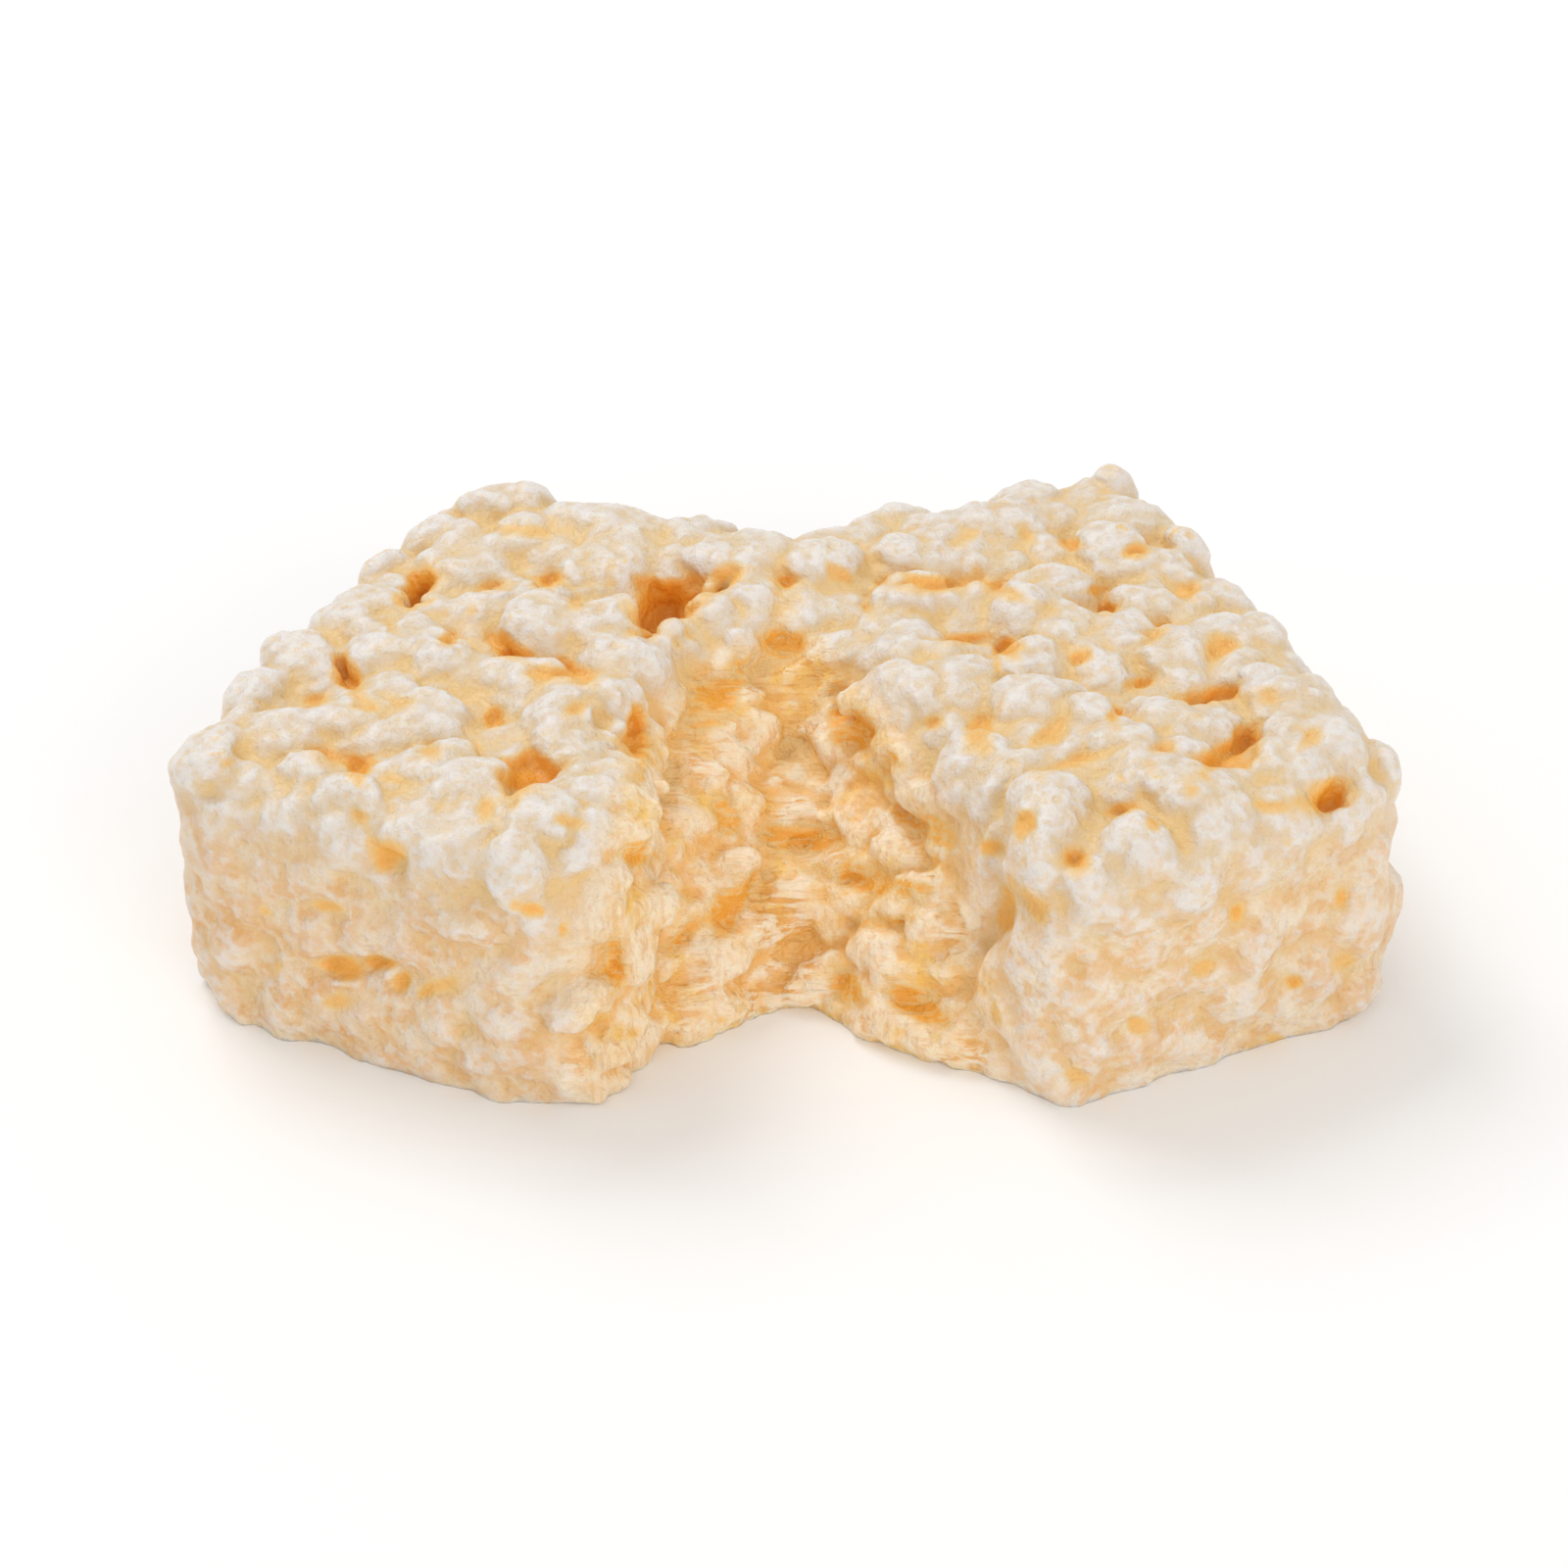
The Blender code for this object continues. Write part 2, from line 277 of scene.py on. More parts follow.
class Skin:
    """A mesh's points, normals and edges as arrays, for work on all its points at once."""

    def __init__(self, mesh: Mesh) -> None:
        """Reads the mesh.

        Args:
            mesh: The mesh, which is written back to by settle, push and paint.
        """
        self.mesh = mesh
        self.points = np.empty((len(mesh.vertices), 3), np.float32)
        mesh.vertices.foreach_get("co", self.points.ravel())
        self.normals = np.empty_like(self.points)
        mesh.vertices.foreach_get("normal", self.normals.ravel())
        self.edges = np.empty((len(mesh.edges), 2), np.int32)
        mesh.edges.foreach_get("vertices", self.edges.ravel())
        self.degree = np.maximum(np.bincount(self.edges.ravel(), minlength=len(self.points)), 1)

    def near_mean(self, values: np.ndarray) -> np.ndarray:
        """Takes the mean of each point's neighbours.

        Args:
            values: One value or several for each point.

        Returns:
            The means, in the same layout.
        """
        first, second = self.edges.T
        columns = values.reshape(len(values), -1).T
        count = len(values)
        sums = [
            np.bincount(first, column[second], count) + np.bincount(second, column[first], count)
            for column in columns
        ]
        return (np.array(sums) / self.degree).T.reshape(values.shape)

    def settle(self, share: np.ndarray, times: int) -> None:
        """Evens the skin out.

        Args:
            share: How far each point moves to the middle of its neighbours each time, 0 to 1.
            times: How often.
        """
        for _ in range(times):
            self.points += (self.near_mean(self.points) - self.points) * share[:, None]
        self.write_back()

    def push(self, distances: np.ndarray) -> None:
        """Moves each point out along its normal by its own distance."""
        self.points += self.normals * distances[:, None].astype(np.float32)
        self.write_back()

    def write_back(self) -> None:
        """Puts the points into the mesh, and reads the new normals."""
        self.mesh.vertices.foreach_set("co", self.points.astype(np.float32).ravel())
        self.mesh.update()
        self.mesh.vertices.foreach_get("normal", self.normals.ravel())

    def paint(self, name: str, values: np.ndarray) -> None:
        """Stores a value a point in the mesh, for its material to read."""
        layer = self.mesh.attributes.new(name, "FLOAT", "POINT")
        layer.data.foreach_set("value", values.astype(np.float32))

    def dips(self, times: int) -> np.ndarray:
        """How far each point lies below the mean of those round it, in millimetres.

        Args:
            times: How often the skin is evened out to find that mean; more reach further.

        Returns:
            Values above 0 in creases, and below 0 on bumps.
        """
        evened = self.points
        for _ in range(times):
            evened = self.near_mean(evened)
        return np.einsum("ij,ij->i", evened - self.points, self.normals) / MM

    def hollowness(self, directions: int, reach: float) -> np.ndarray:
        """How shut in each point is.

        Args:
            directions: How many ways round the whole sphere are looked in.
            reach: How far each look goes.

        Returns:
            0 for a point that sees only open space, up to 1 for one deep in a pit.
        """
        golden_turn = math.pi * (3.0 - math.sqrt(5.0))
        grazing, clearance = 0.1, 0.04 * MM
        looks = []
        for index in range(directions):
            rise = 1.0 - 2.0 * (index + 0.5) / directions
            flat, turn = math.sqrt(1 - rise * rise), golden_turn * index
            looks.append(Vector((math.cos(turn) * flat, math.sin(turn) * flat, rise)))
        facing = self.normals @ np.array(looks, np.float32).T
        tree = tree_of(self.mesh)
        starts = (self.points + self.normals * clearance).tolist()
        shut = np.zeros(len(self.points), np.float32)
        for index, (start, row) in enumerate(zip(starts, facing)):
            found = 0.0
            for look in np.flatnonzero(row > grazing):
                distance = tree.ray_cast(start, looks[look], reach)[3]
                if distance is not None:
                    found += row[look] * (1.0 - distance / reach)
            shut[index] = found / row[row > grazing].sum()
        return shut


@dataclass(frozen=True)
class PhotoView:
    """The camera that sees the square as the photograph does."""

    aim: Vector = PLAN_TO_ORIGIN + Vector((0.0, 0.0, 11.0)) * MM
    elevation: float = math.radians(35)
    distance: float = 330 * MM
    lens_mm: float = 95.04
    sensor_mm: float = 36.0
    frame_px: int = 1600

    @property
    def right(self) -> Vector:
        """The way to the picture's right."""
        return Vector((1.0, 0.0, 0.0))

    @property
    def up(self) -> Vector:
        """The way up the picture."""
        return Vector((0.0, math.sin(self.elevation), math.cos(self.elevation)))

    @property
    def back(self) -> Vector:
        """The way from the aim back to the camera."""
        return self.right.cross(self.up)

    @property
    def eye(self) -> Vector:
        """Where the camera stands."""
        return self.aim + self.back * self.distance

    @property
    def focal_px(self) -> float:
        """The lens's length in pixels of the photograph."""
        return self.lens_mm / self.sensor_mm * self.frame_px

    def sight(self, across: float, down: float) -> Vector:
        """The line of sight through a pixel of the photograph.

        Args:
            across: The pixel's place from the left.
            down: Its place from the top.

        Returns:
            The way from the eye, of length 1.
        """
        half = self.frame_px / 2
        ray = self.right * (across - half) - self.up * (down - half) - self.back * self.focal_px
        return ray.normalized()

    def add_camera(self) -> None:
        """Adds the camera and makes it the scene's own."""
        lens = bpy.data.cameras.new("photo_view")
        lens.lens = self.lens_mm
        lens.sensor_width = self.sensor_mm
        lens.clip_start = 0.01
        camera = link("photo_view", lens)
        turn = Matrix((self.right, self.up, self.back)).transposed()
        camera.matrix_world = Matrix.Translation(self.eye) @ turn.to_4x4()
        bpy.context.scene.camera = camera


@dataclass(frozen=True)
class SoftBox:
    """One wide lamp: where it hangs, its size, and its strength."""

    name: str
    place: Triple
    size: float
    watts: float
    colour: Triple = (1.0, 1.0, 1.0)

    def hang(self) -> None:
        """Adds the lamp, turned to the square."""
        light = bpy.data.lights.new(self.name, "AREA")
        light.shape = "SQUARE"
        light.size = self.size
        light.energy = self.watts
        light.color = self.colour
        lamp = link(self.name, light)
        lamp.location = self.place
        way = Vector((0, 0, 0.01)) - lamp.location
        lamp.rotation_euler = way.to_track_quat("-Z", "Y").to_euler()


@dataclass(frozen=True)
class Studio:
    """The pale floor and the soft light that the square stands in."""

    floor_side: float = 6.0
    floor_colour: Triple = (0.93, 0.93, 0.93)
    sky_strength: float = 0.74
    boxes: tuple[SoftBox, ...] = (
        SoftBox("key_above_back", (-0.35, 0.4, 0.7), 0.45, 2.8),
        SoftBox("fill_front_right", (0.55, -1.0, 0.5), 0.8, 4.4, (1.0, 0.93, 0.84)),
    )

    def set_up(self) -> None:
        """Adds the floor, the lamps and the plain sky, and shows colours as they are."""
        bm = bmesh.new()
        bmesh.ops.create_grid(bm, x_segments=1, y_segments=1, size=self.floor_side / 2)
        floor = object_of("floor", bm)
        floor.data.materials.append(self.floor_paint())
        for box in self.boxes:
            box.hang()
        world = bpy.data.worlds.new("plain_sky")
        world.use_nodes = True
        sky = world.node_tree.nodes["Background"]
        sky.inputs["Color"].default_value = (1.0, 1.0, 1.0, 1.0)
        sky.inputs["Strength"].default_value = self.sky_strength
        bpy.context.scene.world = world
        bpy.context.scene.view_settings.view_transform = "Standard"

    def floor_paint(self) -> bpy.types.Material:
        """The floor's even matt white."""
        values = {"Base Color": self.floor_colour, "Roughness": 0.9, "Specular IOR Level": 0.1}
        return Paint("pale_floor").dress(values)


def cut_block(cells: Iterable[int]) -> BMesh:
    """A block from 0 to 1 along each axis, with its faces cut into a grid.

    Args:
        cells: How many cells there are along each axis.

    Returns:
        The block's shape.
    """
    bm = bmesh.new()
    bmesh.ops.create_cube(bm, size=1.0)
    for axis, count in enumerate(cells):
        edges = [e for e in bm.edges if abs((e.verts[0].co - e.verts[1].co)[axis]) > 0.5]
        bmesh.ops.subdivide_edges(bm, edges=edges, cuts=count - 1, use_grid_fill=True)
    bmesh.ops.translate(bm, verts=bm.verts, vec=(0.5, 0.5, 0.5))
    return bm


def uneven(point: Vector) -> Vector:
    """A smooth push in all directions: a wide one of 1 mm, with a finer one on top."""
    wide, fine = (noise.noise_vector(point / (width * MM)) for width in (11, 4.5))
    return (wide + fine * 0.6) * MM


@dataclass(frozen=True)
class Half:
    """One half of the square: a thick block that swings out from the hinge at the back.

    Its plan is given by the corners of its top, in millimetres across, back and up. The face
    towards the tear is pressed in by tear_depths, evenly from back to front.
    """

    back_inner: Triple
    back_outer: Triple
    front_outer: Triple
    front_inner: Triple
    tear_depths: tuple[float, ...]
    edge_radii: Vector = Vector((6.0, 6.0, 2.8)) * MM
    height: float = 20 * MM
    cell: float = 2.4 * MM

    def rounded(self, point: Vector, size: Vector) -> Vector:
        """Pulls a point of a box onto the same box with its upright and top edges rounded.

        Args:
            point: The point.
            size: The box's size; it stands at the origin.

        Returns:
            The point's new place.
        """
        radii = self.edge_radii
        kept = Vector(min(max(p, r), s - r) for p, r, s in zip(point, radii, size))
        kept.z = min(point.z, size.z - radii.z)
        out = Vector(o / r for o, r in zip(point - kept, radii))
        return kept + out.normalized() * radii if out.length > 1 else point

    def block(self) -> Object:
        """Builds the half as a closed block.

        Returns:
            The block, in its place.
        """
        corners = (self.back_inner, self.back_outer, self.front_outer, self.front_inner)
        back_inner, back_outer, front_outer, front_inner = (Vector(c) * MM for c in corners)
        back = back_outer - back_inner
        front = front_outer - front_inner
        inner = front_inner - back_inner
        height = self.height + BELOW_FLOOR
        size = Vector(((back.xy.length + front.xy.length) / 2, inner.xy.length, height))
        bm = cut_block([round(length / self.cell) for length in size])
        for vert in bm.verts:
            point = self.rounded(vert.co * size, size)
            out, forward, up = (p / s for p, s in zip(point, size))
            place = (back_inner + back * out).lerp(front_inner + front * out, forward)
            place.z = up * (place.z + BELOW_FLOOR) - BELOW_FLOOR
            pressed = along(self.tear_depths, forward) * MM * (1 - out) ** 2
            place += back.normalized() * pressed
            vert.co = place + uneven(place) + PLAN_TO_ORIGIN
        return object_of("half", bm)


@dataclass(frozen=True)
class TornRamp:
    """The torn middle: a ramp that fans out from the hinge and falls from the neck to the table."""

    neck: float = 9.5 * MM
    top: float = 20.9 * MM
    foot: float = 31.8 * MM
    foot_at_wall: float = 43.0 * MM
    foot_angle: float = math.radians(-2)
    wall_angle: float = math.radians(20)
    sides: tuple[float, float] = (math.radians(-36), math.radians(32))
    heights: tuple[float, ...] = (1.0, 0.86, 0.68, 0.56, 0.47, 0.34, 0.0)
    wall_lift: float = 5.0 * MM
    past_foot: float = 1.03
    roughness: float = 1.2
    cells: tuple[int, int, int] = (22, 16, 6)

    def fan(self) -> Object:
        """Builds the ramp as a closed fan with a ragged skin.

        Returns:
            The fan, in its place.
        """
        bm = cut_block(self.cells)
        for vert in bm.verts:
            across, outwards, up = vert.co
            angle = along(self.sides, across)
            to_wall = min(1.0, abs(angle - self.foot_angle) / self.wall_angle)
            foot = self.foot + (self.foot_at_wall - self.foot) * to_wall**1.5
            radius = along((1 * MM, foot * self.past_foot), outwards)
            fall = (radius - self.neck) / (foot - self.neck)
            height = self.top * along(self.heights, fall)
            height += self.wall_lift * max(0.0, to_wall - 0.4) * min(1.0, max(0.0, fall * 2.5))
            place = Vector((math.sin(angle) * radius, -math.cos(angle) * radius, height)) + HINGE
            place += uneven(place) * self.roughness
            place.z = along((-BELOW_FLOOR, place.z), up)
            vert.co = place + PLAN_TO_ORIGIN
        return object_of("ramp", bm)


@dataclass(frozen=True)
class Tear:
    """Where the torn marshmallow shows: between two rims that run down the photograph.

    Each rim is a row of places in the photograph's pixels, down and across. The tear begins at
    a distance from the hinge that the halves swing on.
    """

    view: PhotoView = field(default_factory=PhotoView)
    left_rim: tuple[tuple[float, float], ...] = (
        (640, 790), (688, 705), (750, 650), (828, 630),
        (864, 622), (932, 598), (984, 586), (1120, 584),
    )
    right_rim: tuple[tuple[float, float], ...] = (
        (640, 800), (660, 850), (719, 893), (781, 945),
        (854, 976), (911, 992), (984, 1007), (1120, 1022),
    )
    soft_px: float = 30.0
    ragged_px: float = 30.0
    ragged_size: float = 3 * MM
    starts_at: float = 4 * MM

    def shares(self, points: np.ndarray) -> np.ndarray:
        """How far each point lies in the tear, from 0 on the untorn faces to 1.

        Args:
            points: The points, a row each.

        Returns:
            One value a point.
        """
        axes = np.array((self.view.right, self.view.up, self.view.back))
        seen = (points - np.array(self.view.eye)) @ axes.T
        scale = self.view.focal_px / -seen[:, 2]
        across = self.view.frame_px / 2 + seen[:, 0] * scale
        down = self.view.frame_px / 2 - seen[:, 1] * scale
        places = [Vector(point) / self.ragged_size for point in points.tolist()]
        across = across + np.array([noise.noise(place) for place in places]) * self.ragged_px
        left = np.interp(down, *np.transpose(self.left_rim))
        right = np.interp(down, *np.transpose(self.right_rim))
        inside = np.minimum(across - left, right - across)
        past_hinge = (PLAN_TO_ORIGIN + HINGE).y - points[:, 1]
        in_front = smooth_step(0.0, self.starts_at, past_hinge - self.starts_at / 2)
        return smooth_step(-self.soft_px, self.soft_px, inside) * in_front


@dataclass(frozen=True)
class Lump:
    """A cluster that stands proud of the top, in millimetres: its middle and half sizes."""

    across: float
    back: float
    half_width: float
    half_length: float
    rise: float


LEFT_HALF = Half(
    back_inner=(5.4, 20.4, 21.0),
    back_outer=(-27.6, 29.6, 20.6),
    front_outer=(-47.8, -13.4, 20.6),
    front_inner=(-16.6, -28.2, 22.0),
    tear_depths=(0.0, 3.0, 5.4, 4.2, -1.4, 0.0),
)
RIGHT_HALF = Half(
    back_inner=(-1.6, 21.6, 21.0),
    back_outer=(29.6, 31.4, 20.6),
    front_outer=(48.2, -14.0, 20.6),
    front_inner=(18.6, -28.6, 22.0),
    tear_depths=(0.0, 0.6, 0.2, 0.4, 0.8, 0.0),
)
LUMPS = tuple(
    Lump(*row)
    for row in (
        (-22.8, 27.9, 3.7, 2.8, 2.6), (-13.2, -17.6, 3.6, 4.6, 2.4), (-38.6, -8.9, 3.7, 2.6, 2.0),
        (-39.3, 3.4, 3.2, 3.2, 2.2), (28.0, 29.4, 1.4, 1.6, 2.9), (18.9, -19.2, 2.6, 3.6, 2.2),
        (19.7, -5.2, 3.7, 2.6, 1.9), (21.8, 12.2, 2.9, 2.4, 1.8), (10.3, 10.6, 3.4, 2.3, 1.7),
        (43.0, -10.4, 2.0, 2.8, 2.0), (38.2, 6.4, 2.4, 2.8, 2.0),
    )
)


@dataclass
class Core:
    """The plain body under the grains: the two halves and the ramp, fused."""

    halves: tuple[Half, ...] = (LEFT_HALF, RIGHT_HALF)
    ramp: TornRamp = field(default_factory=TornRamp)
    tear: Tear = field(default_factory=Tear)
    voxel: float = 0.7 * MM
    over_top: float = 24.0
    top_rise: float = 0.6
    torn_rise: float = 0.93
    torn_share: float = 0.45

    def build(self) -> Object:
        """Fuses the halves and the ramp.

        Returns:
            The core.
        """
        shells = [half.block() for half in self.halves] + [self.ramp.fan()]
        bm = bmesh.new()
        for shell in shells:
            bm.from_mesh(shell.data)
            bpy.data.objects.remove(shell)
        core = object_of("core", bm)
        fuse(core, self.voxel)
        keep_outer_skin(core)
        self.tree = tree_of(core.data)
        return core

    def on_top(self, across: float, back: float) -> Vector:
        """The point of the core nearest to a place just above the top, in plan millimetres."""
        place = Vector((across, back, self.over_top)) * MM + PLAN_TO_ORIGIN
        return self.tree.find_nearest(place)[0]

    def kind_at(self, point: Vector, normal: Vector) -> Face:
        """Names the kind of face that a point of the core lies on.

        Args:
            point: The point.
            normal: The face's normal there.

        Returns:
            The kind.
        """
        torn = normal.z < self.torn_rise and self.tear.shares(np.array([point]))[0]
        if torn > self.torn_share:
            return Face.TORN
        return Face.TOP if normal.z > self.top_rise else Face.SIDE


@dataclass(frozen=True)
class Crevice:
    """A gap between grains that the photograph shows.

    Its middle and half sizes are in the photograph's pixels, its angle runs clockwise from the
    picture's right in degrees, and its depth is in millimetres.
    """

    across: float
    down: float
    half_length: float
    half_width: float
    angle: float
    depth: float


@dataclass(frozen=True)
class Dent:
    """A crevice laid on the square: its middle, its two half axes along the skin, and its depth.

    The sight is the way that the photograph looks at it, so that a point keeps its place against
    the crevice's outline, as the photograph shows it, however far it sinks.
    """

    middle: Vector
    half_long: Vector
    half_wide: Vector
    sight: Vector
    depth: float
    rim: float = 1.08
    back_slope: float = 0.95
    steeper_lip: float = 0.65
    pressed_off: float = 6 * MM
    # The last six fields size the painted golden shade in and round the crevice: its rim, its
    # slope, how ragged it is, its least strength, its gain per millimetre of depth, and how far it
    # reaches along the sight.
    shade_rim: float = 1.45
    shade_slope: float = 1.1
    shade_ragged: float = 0.8
    shade_least: float = 0.42
    shade_per_mm: float = 0.13
    shaded_off: float = 8 * MM

    @classmethod
    def of(cls, crevice: Crevice, view: PhotoView, core: BVHTree, cover: float) -> Dent | None:
        """Lays a crevice where its line of sight meets the square.

        Args:
            crevice: The crevice, as the photograph shows it.
            view: The photograph's view.
            core: The core's faces.
            cover: How thickly the grains lie over the core.

        Returns:
            The dent, or nothing where the line of sight misses the core.
        """
        sight = view.sight(crevice.across, crevice.down)
        hit, normal = core.ray_cast(view.eye, sight)[:2]
        if hit is None:
            return None
        facing = min(sight.dot(normal), -0.35)
        middle = hit + sight * (cover / facing)
        pixel = (view.eye - middle).dot(view.back) / view.focal_px
        angle = math.radians(crevice.angle)
        long_way = view.right * math.cos(angle) - view.up * math.sin(angle)
        wide_way = view.right * math.sin(angle) + view.up * math.cos(angle)
        long_way -= sight * (long_way.dot(normal) / facing)
        wide_way -= sight * (wide_way.dot(normal) / facing)
        half_long = long_way * crevice.half_length * pixel
        half_wide = wide_way * crevice.half_width * pixel
        return cls(middle, half_long, half_wide, sight, crevice.depth * MM)

    def local(self, points: np.ndarray) -> np.ndarray:
        """Each point's place along the two half axes, and in metres along the sight."""
        turn = Matrix((self.half_long, self.half_wide, self.sight)).transposed().inverted()
        return (points - np.array(self.middle)) @ np.array(turn).T

    def holds(self, point: Vector, margin: float) -> bool:
        """Whether a point lies over the dent.

        Args:
            point: The point.
            margin: How much wider than itself the dent is taken to be, all round.

        Returns:
            True for a point over it.
        """
        across, back, off = self.local(np.array([point]))[0]
        reach = (1 + margin / self.half_long.length, 1 + margin / self.half_wide.length)
        over = (across / reach[0]) ** 2 + (back / reach[1]) ** 2 < 1
        return over and abs(off) < self.shaded_off

    def share(self, points: np.ndarray, ragged: np.ndarray) -> np.ndarray:
        """How far the dent sinks each point, against its whole depth.

        The lip at the front is steep, and the wall at the back slopes down to it.

        Args:
            points: The points, a row each.
            ragged: How far the rim is shifted at each point, as a share of the half sizes.

        Returns:
            0 outside the dent, up to 1 at its floor.
        """
        across, back, off = self.local(points).T
        radius = np.hypot(across, back)
        near = np.flatnonzero((radius < 1.6) & (np.abs(off) < self.pressed_off))
        radius = radius[near]
        front = 0.5 - 0.5 * back[near] / np.maximum(radius, 1e-6)
        slope = self.back_slope - self.steeper_lip * front
        sunk = np.zeros(len(points))
        sunk[near] = smooth_step(0.0, 1.0, (self.rim - radius * (1 + ragged[near])) / slope)
        return sunk

    def painted_shade(self, points: np.ndarray, ragged: np.ndarray) -> np.ndarray:
        """How strongly the dent's painted golden shade colours each point; deeper dents get darker
        painted shade.

        Args:
            points: The points, a row each.
            ragged: How far the painted shade's rim is shifted, as a share of the half sizes.

        Returns:
            0 outside the painted shade, up to 1 in the middle of a deep dent.
        """
        across, back, off = self.local(points).T
        radius = np.hypot(across, back) * (1 + self.shade_ragged * ragged)
        strength = min(1.0, self.shade_least + self.shade_per_mm * self.depth / MM)
        painted_shade = strength * smooth_step(0.0, 1.0, (self.shade_rim - radius) / self.shade_slope)
        return np.where(np.abs(off) < self.shaded_off, painted_shade, 0.0)


CREVICES = tuple(
    Crevice(*row)
    for row in (
        (678, 614, 46, 28, -9, 6.5), (330, 772, 34, 12, 20, 1.6), (367, 786, 16, 14, 70, 3.5),
        (400, 795, 20, 7, 10, 1.5), (539, 789, 35, 20, -17, 3), (530, 797, 16, 14, 0, 5),
        (1257, 766, 37, 15, -23, 3), (1238, 780, 14, 9, -30, 5), (985, 652, 30, 8, -5, 2.5),
        (1030, 660, 14, 12, 80, 3.5), (1018, 680, 6, 14, 0, 2), (430, 596, 28, 14, -34, 5),
        (876, 745, 38, 23, 34, 2), (1351, 816, 27, 16, -34, 4.5), (1246, 710, 42, 14, -1, 3),
        (939, 1024, 41, 14, 30, 2), (576, 688, 44, 10, 0, 2.5), (948, 597, 50, 11, -5, 2.5),
        (1145, 826, 28, 7, -10, 2), (1176, 842, 12, 9, 40, 3.5), (500, 598, 26, 8, -5, 2),
        (562, 592, 22, 10, -5, 3), (1165, 697, 20, 8, -10, 2.5), (1135, 730, 10, 10, 0, 3.5),
        (807, 859, 42, 14, 0, 1.5), (651, 749, 38, 15, 87, 3.5), (517, 662, 25, 13, 34, 3.5),
        (360, 690, 32, 13, 72, 3), (1120, 602, 20, 7, -10, 2), (1128, 623, 13, 9, -20, 2.5),
        (397, 876, 20, 16, -75, 2.5), (728, 709, 42, 25, -47, 1.2), (648, 872, 23, 14, 4, 2.5),
        (897, 901, 45, 15, 19, 1.5), (805, 660, 30, 16, -42, 1.5), (1000, 742, 23, 14, -48, 2),
        (1098, 878, 19, 11, 19, 2.5), (504, 733, 15, 12, -70, 2.5), (457, 652, 18, 10, -45, 2.5),
        (869, 1007, 33, 11, 50, 1.5), (802, 594, 16, 13, 3, 2), (742, 933, 34, 11, -74, 1.5),
        (441, 768, 15, 13, 0, 2), (1026, 604, 32, 9, 22, 2.5), (539, 543, 34, 9, 8, 1.2),
        (411, 718, 22, 11, 7, 1.2), (951, 842, 32, 12, 28, 1.2), (1244, 663, 20, 10, -20, 1.8),
        (1069, 750, 33, 9, -38, 1.2), (1092, 779, 43, 7, -15, 1.5), (1012, 865, 13, 10, 14, 3),
        (323, 714, 19, 8, -2, 2), (954, 737, 16, 11, 10, 2), (914, 939, 31, 8, -9, 1.2),
        (1054, 925, 25, 9, 64, 1.2), (1045, 841, 15, 11, -42, 2), (626, 991, 17, 13, 46, 2),
        (346, 984, 15, 10, -4, 2), (381, 980, 15, 7, -13, 2), (739, 833, 20, 10, -57, 1),
        (584, 839, 23, 7, 18, 2), (494, 826, 19, 10, -76, 1.5), (1160, 562, 16, 8, -18, 2.5),
        (451, 1004, 24, 10, -16, 1), (1213, 602, 13, 10, 21, 2), (1094, 555, 25, 7, 5, 2.2),
        (699, 953, 32, 9, -43, 1), (1370, 980, 16, 10, -24, 1), (342, 1022, 19, 8, -8, 1.2),
        (1101, 672, 15, 9, -21, 2), (588, 615, 12, 9, 27, 2), (1186, 643, 20, 7, -28, 1.8),
        (858, 585, 21, 7, 38, 1.5), (1338, 754, 16, 9, -35, 1.5), (1295, 823, 27, 6, 7, 1.2),
        (736, 585, 15, 9, -23, 1.5), (1016, 1034, 21, 6, 77, 1), (584, 725, 15, 7, -26, 1.5),
        (1049, 548, 14, 8, 34, 1.2), (1367, 916, 12, 7, -78, 1.5), (486, 763, 14, 7, 34, 2),
        (232, 777, 9, 8, 0, 1.8), (986, 549, 17, 6, -32, 1), (1095, 1097, 11, 9, 60, 0.8),
        (1189, 762, 13, 7, -19, 1.5), (543, 927, 13, 6, 16, 1.2), (886, 623, 9, 8, 0, 1.5),
        (1174, 786, 10, 7, 88, 1.2), (1319, 1002, 8, 6, 4, 1.8), (1260, 932, 9, 5, 85, 1.5),
        (1144, 794, 8, 4, 33, 1.8), (367, 830, 7, 5, 38, 1.5), (398, 641, 7, 5, -5, 1.2),
        (644, 647, 10, 6, 9, 1.5), (482, 624, 9, 6, -58, 1), (742, 828, 22, 14, 60, 1.6),
        (735, 700, 40, 8, -8, 1.6), (794, 651, 20, 11, 0, 2), (740, 925, 36, 15, -45, 1.8),
        (867, 1004, 18, 14, 70, 2.4), (628, 985, 12, 30, 0, 2.2), (888, 901, 44, 13, 14, 2),
        (935, 1026, 34, 16, 25, 2.2), (1029, 927, 9, 26, 8, 1.8), (945, 849, 34, 7, 34, 1.6),
        (346, 987, 26, 9, 5, 3), (390, 982, 22, 6, 4, 3), (412, 1000, 8, 14, 20, 2.5),
        (436, 1010, 14, 6, -40, 2.4), (335, 925, 22, 8, 10, 1.6), (545, 928, 14, 7, 10, 2.4),
        (400, 868, 20, 13, 20, 3), (575, 950, 8, 12, 0, 1.8), (270, 930, 8, 6, 30, 1.8),
        (1262, 930, 7, 11, 10, 3), (1320, 1003, 10, 8, 0, 3), (1369, 916, 7, 12, 0, 2.4),
        (1160, 1045, 14, 8, 40, 1.2), (1230, 985, 16, 8, -20, 1.2), (1300, 1060, 14, 7, 15, 1.2),
    )
)


